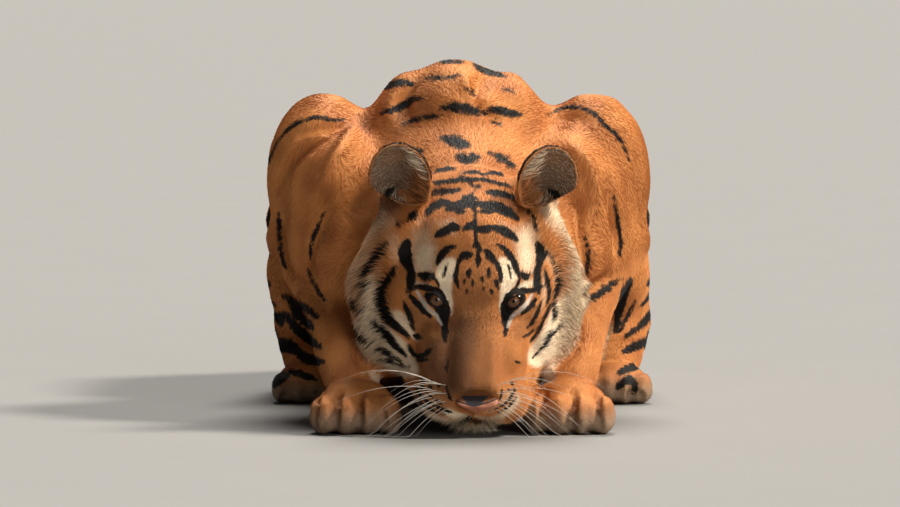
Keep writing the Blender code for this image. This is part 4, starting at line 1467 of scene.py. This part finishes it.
def add_nose(material):
    """The nose leather: a broad pad, straight along its top and pointed below, slit at each side."""
    bm = bmesh.new()
    bmesh.ops.create_icosphere(bm, subdivisions=6, radius=1)
    mesh = finished(bm, "nose_pad")
    ball = read(mesh.vertices, "co", 3)
    forward, out, up = ball.T
    away = np.abs(out)
    pad = ball.copy()
    pad[:, 1] *= 1 - 0.60 * smoothstep(0.10, -1.0, up)
    pad[:, 2] = np.where(up > 0.1, 0.1 + (up - 0.1) * 0.42, up) + 0.16 * smoothstep(0.3, 1.0, away)
    pad[:, 0] -= 0.35 * smoothstep(0.3, 1.0, forward) * (1 - 0.6 * away ** 2)
    pad[:, 0] -= 0.30 * smoothstep(0.0, 1.0, up)
    groove = np.exp(-(out / 0.06) ** 2) * smoothstep(0.3, -0.5, up)
    slope = NOSTRIL[1] + 0.60 * (away - NOSTRIL[0])
    gap = np.hypot((away - NOSTRIL[0]) / 0.30, (up - slope) / 0.13)
    hole = smoothstep(1.3, 0.7, gap) * (forward > 0)
    pad *= (1 - 0.10 * groove - 0.26 * hole)[:, None]
    size = np.array(NOSE_SIZE)
    axes = np.array([HEAD_FORWARD, HEAD_LEFT, HEAD_UP])
    centre = np.array(NOSE) + np.array(NOSE_SHIFT) @ axes
    mesh.vertices.foreach_set("co", (centre + (pad * size) @ axes).ravel())
    mesh.shade_smooth()
    set_field(mesh, "root", ball * size)
    across, rise = ((on_sighting_plane(read(mesh.vertices, "co", 3)) - BROW_SIGHT) / MM + [1, 0]).T
    across = np.abs(across)
    edge = rise - NOSE_EDGE - 9.5 * np.clip(across / 31, 0, 1.2) ** 1.3
    patch_side = across - 8 - 0.85 * (rise - NOSE_EDGE)
    leather = smoothstep(1.5, -1.5, patch_side) * smoothstep(NOSE_TOP + 2, NOSE_TOP - 1, rise) * (edge > 0)
    set_field(mesh, "upper", np.maximum(leather, 0.9 * smoothstep(1.9, 0.7, np.abs(edge))))
    set_field(mesh, "furred", smoothstep(0, 1.5, edge))
    set_field(mesh, "hole", hole)
    add_piece("nose_pad", mesh, material, ["nose"])


def tubes(name, paths, radius):
    """One mesh of tapered three-sided tubes along curves."""
    points, faces, base = [], [], 0
    for path in paths:
        ahead = unit(np.gradient(path, axis=0))
        side = unit(np.cross(ahead, [0.1, 0.2, 1.0]))
        other = np.cross(ahead, side)
        steps = len(path)
        thin = radius * np.linspace(1, 0.12, steps)[:, None]
        for turn in range(3):
            angle = turn * 2 * math.pi / 3
            points.append(path + (side * math.cos(angle) + other * math.sin(angle)) * thin)
        for turn in range(3):
            here, there = base + turn * steps, base + (turn + 1) % 3 * steps
            faces += [(here + n, there + n, there + n + 1, here + n + 1) for n in range(steps - 1)]
        base += 3 * steps
    return mesh_from(name, np.concatenate(points), np.array(faces))


WHISKER_ROWS, WHISKERS_IN_ROW = 4, 5
WHISKER_RADIUS = 0.00045


def whisker_path(root, side, row, number, random):
    """A curve out, up and then down from a root on the muzzle."""
    length = (0.135 - 0.013 * number) * random.uniform(0.75, 1.15)
    rise = 0.35 - 0.28 * row + random.uniform(-0.15, 0.15)
    droop = random.uniform(0.25, 0.8)
    t = np.linspace(0, 1, 12)
    out = side * length * (t * 0.93)
    up = length * (rise * t - droop * t ** 2)
    front = -length * (0.32 * t - 0.42 * t ** 2) + random.uniform(-0.01, 0.01) * t
    path = np.array(root) + np.stack([out, front, up], 1)
    path[:, 2] = np.maximum(path[:, 2], 0.003)
    return path


def add_whiskers(surface, material):
    """Rows of stiff pale whiskers from each side of the muzzle, drooping as they go out."""
    random = np.random.default_rng(5)
    paths = []
    for side in SIDES.values():
        for row in range(WHISKER_ROWS):
            for number in range(WHISKERS_IN_ROW):
                place = (side * (66 - 7 * number) - 6, -118 - 12 * row - 2 * number)
                (start, direction), = sight_lines("front", [place])
                root = surface.tree.ray_cast(start, direction)[0]
                if root is not None:
                    paths.append(whisker_path(root, side, row, number, random))
    mesh = tubes("whiskers", paths, WHISKER_RADIUS)
    set_field(mesh, "root", read(mesh.vertices, "co", 3))
    add_piece("whiskers", mesh, material)


# Floor, light and camera

FLOOR_REACH = 900.0
WORLD_COLOUR, WORLD_STRENGTH = (0.84, 0.85, 0.88, 1), 0.08
LIGHTS = {
    # where it shines from, strength, softness as an angle in radians, colour
    "key": ((6.4, -0.6, 6.5), 5.2, 0.20, (1.0, 0.93, 0.82)),
    "top": ((0.6, 4.4, 7.0), 4.9, 0.45, (1.0, 0.96, 0.90)),
    "fill": ((3.2, -7.6, 2.0), 0.95, 0.45, (1.0, 0.98, 0.96)),
}


def add_stage():
    """A plain floor that runs on to the horizon on every side."""
    corners = [(across * FLOOR_REACH, along * FLOOR_REACH, 0) for along in (-1, 1) for across in (-1, 1)]
    mesh = mesh_from("floor", np.array(corners, float), np.array([[0, 1, 3, 2]]))
    floor = placed("floor", mesh)
    finish = Finish("floor", Roughness=0.85, Specular_IOR_Level=0.2)
    tone = finish.noise(finish.node("ShaderNodeNewGeometry"), 3.0)
    finish.set(Base_Color=finish.mix(tone, FLOOR_DARK, FLOOR_LIGHT))
    mesh.materials.append(finish.material)


def add_light(name, direction, strength, softness, colour):
    """A soft, even light that falls from one direction."""
    light = bpy.data.lights.new(name, "SUN")
    light.energy, light.angle, light.color = strength, softness, colour
    obj = placed(name, light)
    obj.location = Vector(direction)
    obj.rotation_euler = Vector(direction).to_track_quat("Z", "Y").to_euler()


def add_world():
    world = bpy.data.worlds.new("studio")
    world.use_nodes = True
    background = world.node_tree.nodes["Background"]
    background.inputs["Color"].default_value = WORLD_COLOUR
    background.inputs["Strength"].default_value = WORLD_STRENGTH
    bpy.context.scene.world = world
    bpy.context.scene.view_settings.view_transform = "Standard"


def add_camera():
    camera = bpy.data.cameras.new("camera")
    camera.sensor_width, camera.lens = SENSOR, LENS
    camera.clip_end = 2 * FLOOR_REACH
    obj = placed("camera", camera)
    obj.location = ONLOOKER
    obj.rotation_euler = LOOK_FORWARD.to_track_quat("-Z", "Y").to_euler()
    bpy.context.scene.camera = obj


def main():
    for name in ("Cube", "Light", "Camera"):
        if name in bpy.data.objects:
            bpy.data.objects.remove(bpy.data.objects[name], do_unlink=True)
    coat = coat_finish()
    skin = Surface(skin_mesh())
    plan_growth(skin)
    shape_skin(skin)
    paint(skin)
    store_fields(skin, 0.35, {})
    skin.mesh.shade_smooth()
    add_piece("skin", skin.mesh, coat, FLESH)
    chart = unwrapped(skin)
    lay_coats(skin, chart, coat)
    for side in SIDES:
        add_ear(side, chart, coat)
    eye = eye_finish()
    for side in SIDES:
        add_eye(side, eye)
    add_nose(nose_finish())
    add_whiskers(skin, whisker_finish())
    add_stage()
    add_world()
    for name, light in LIGHTS.items():
        add_light(name, *light)
    add_camera()


main()
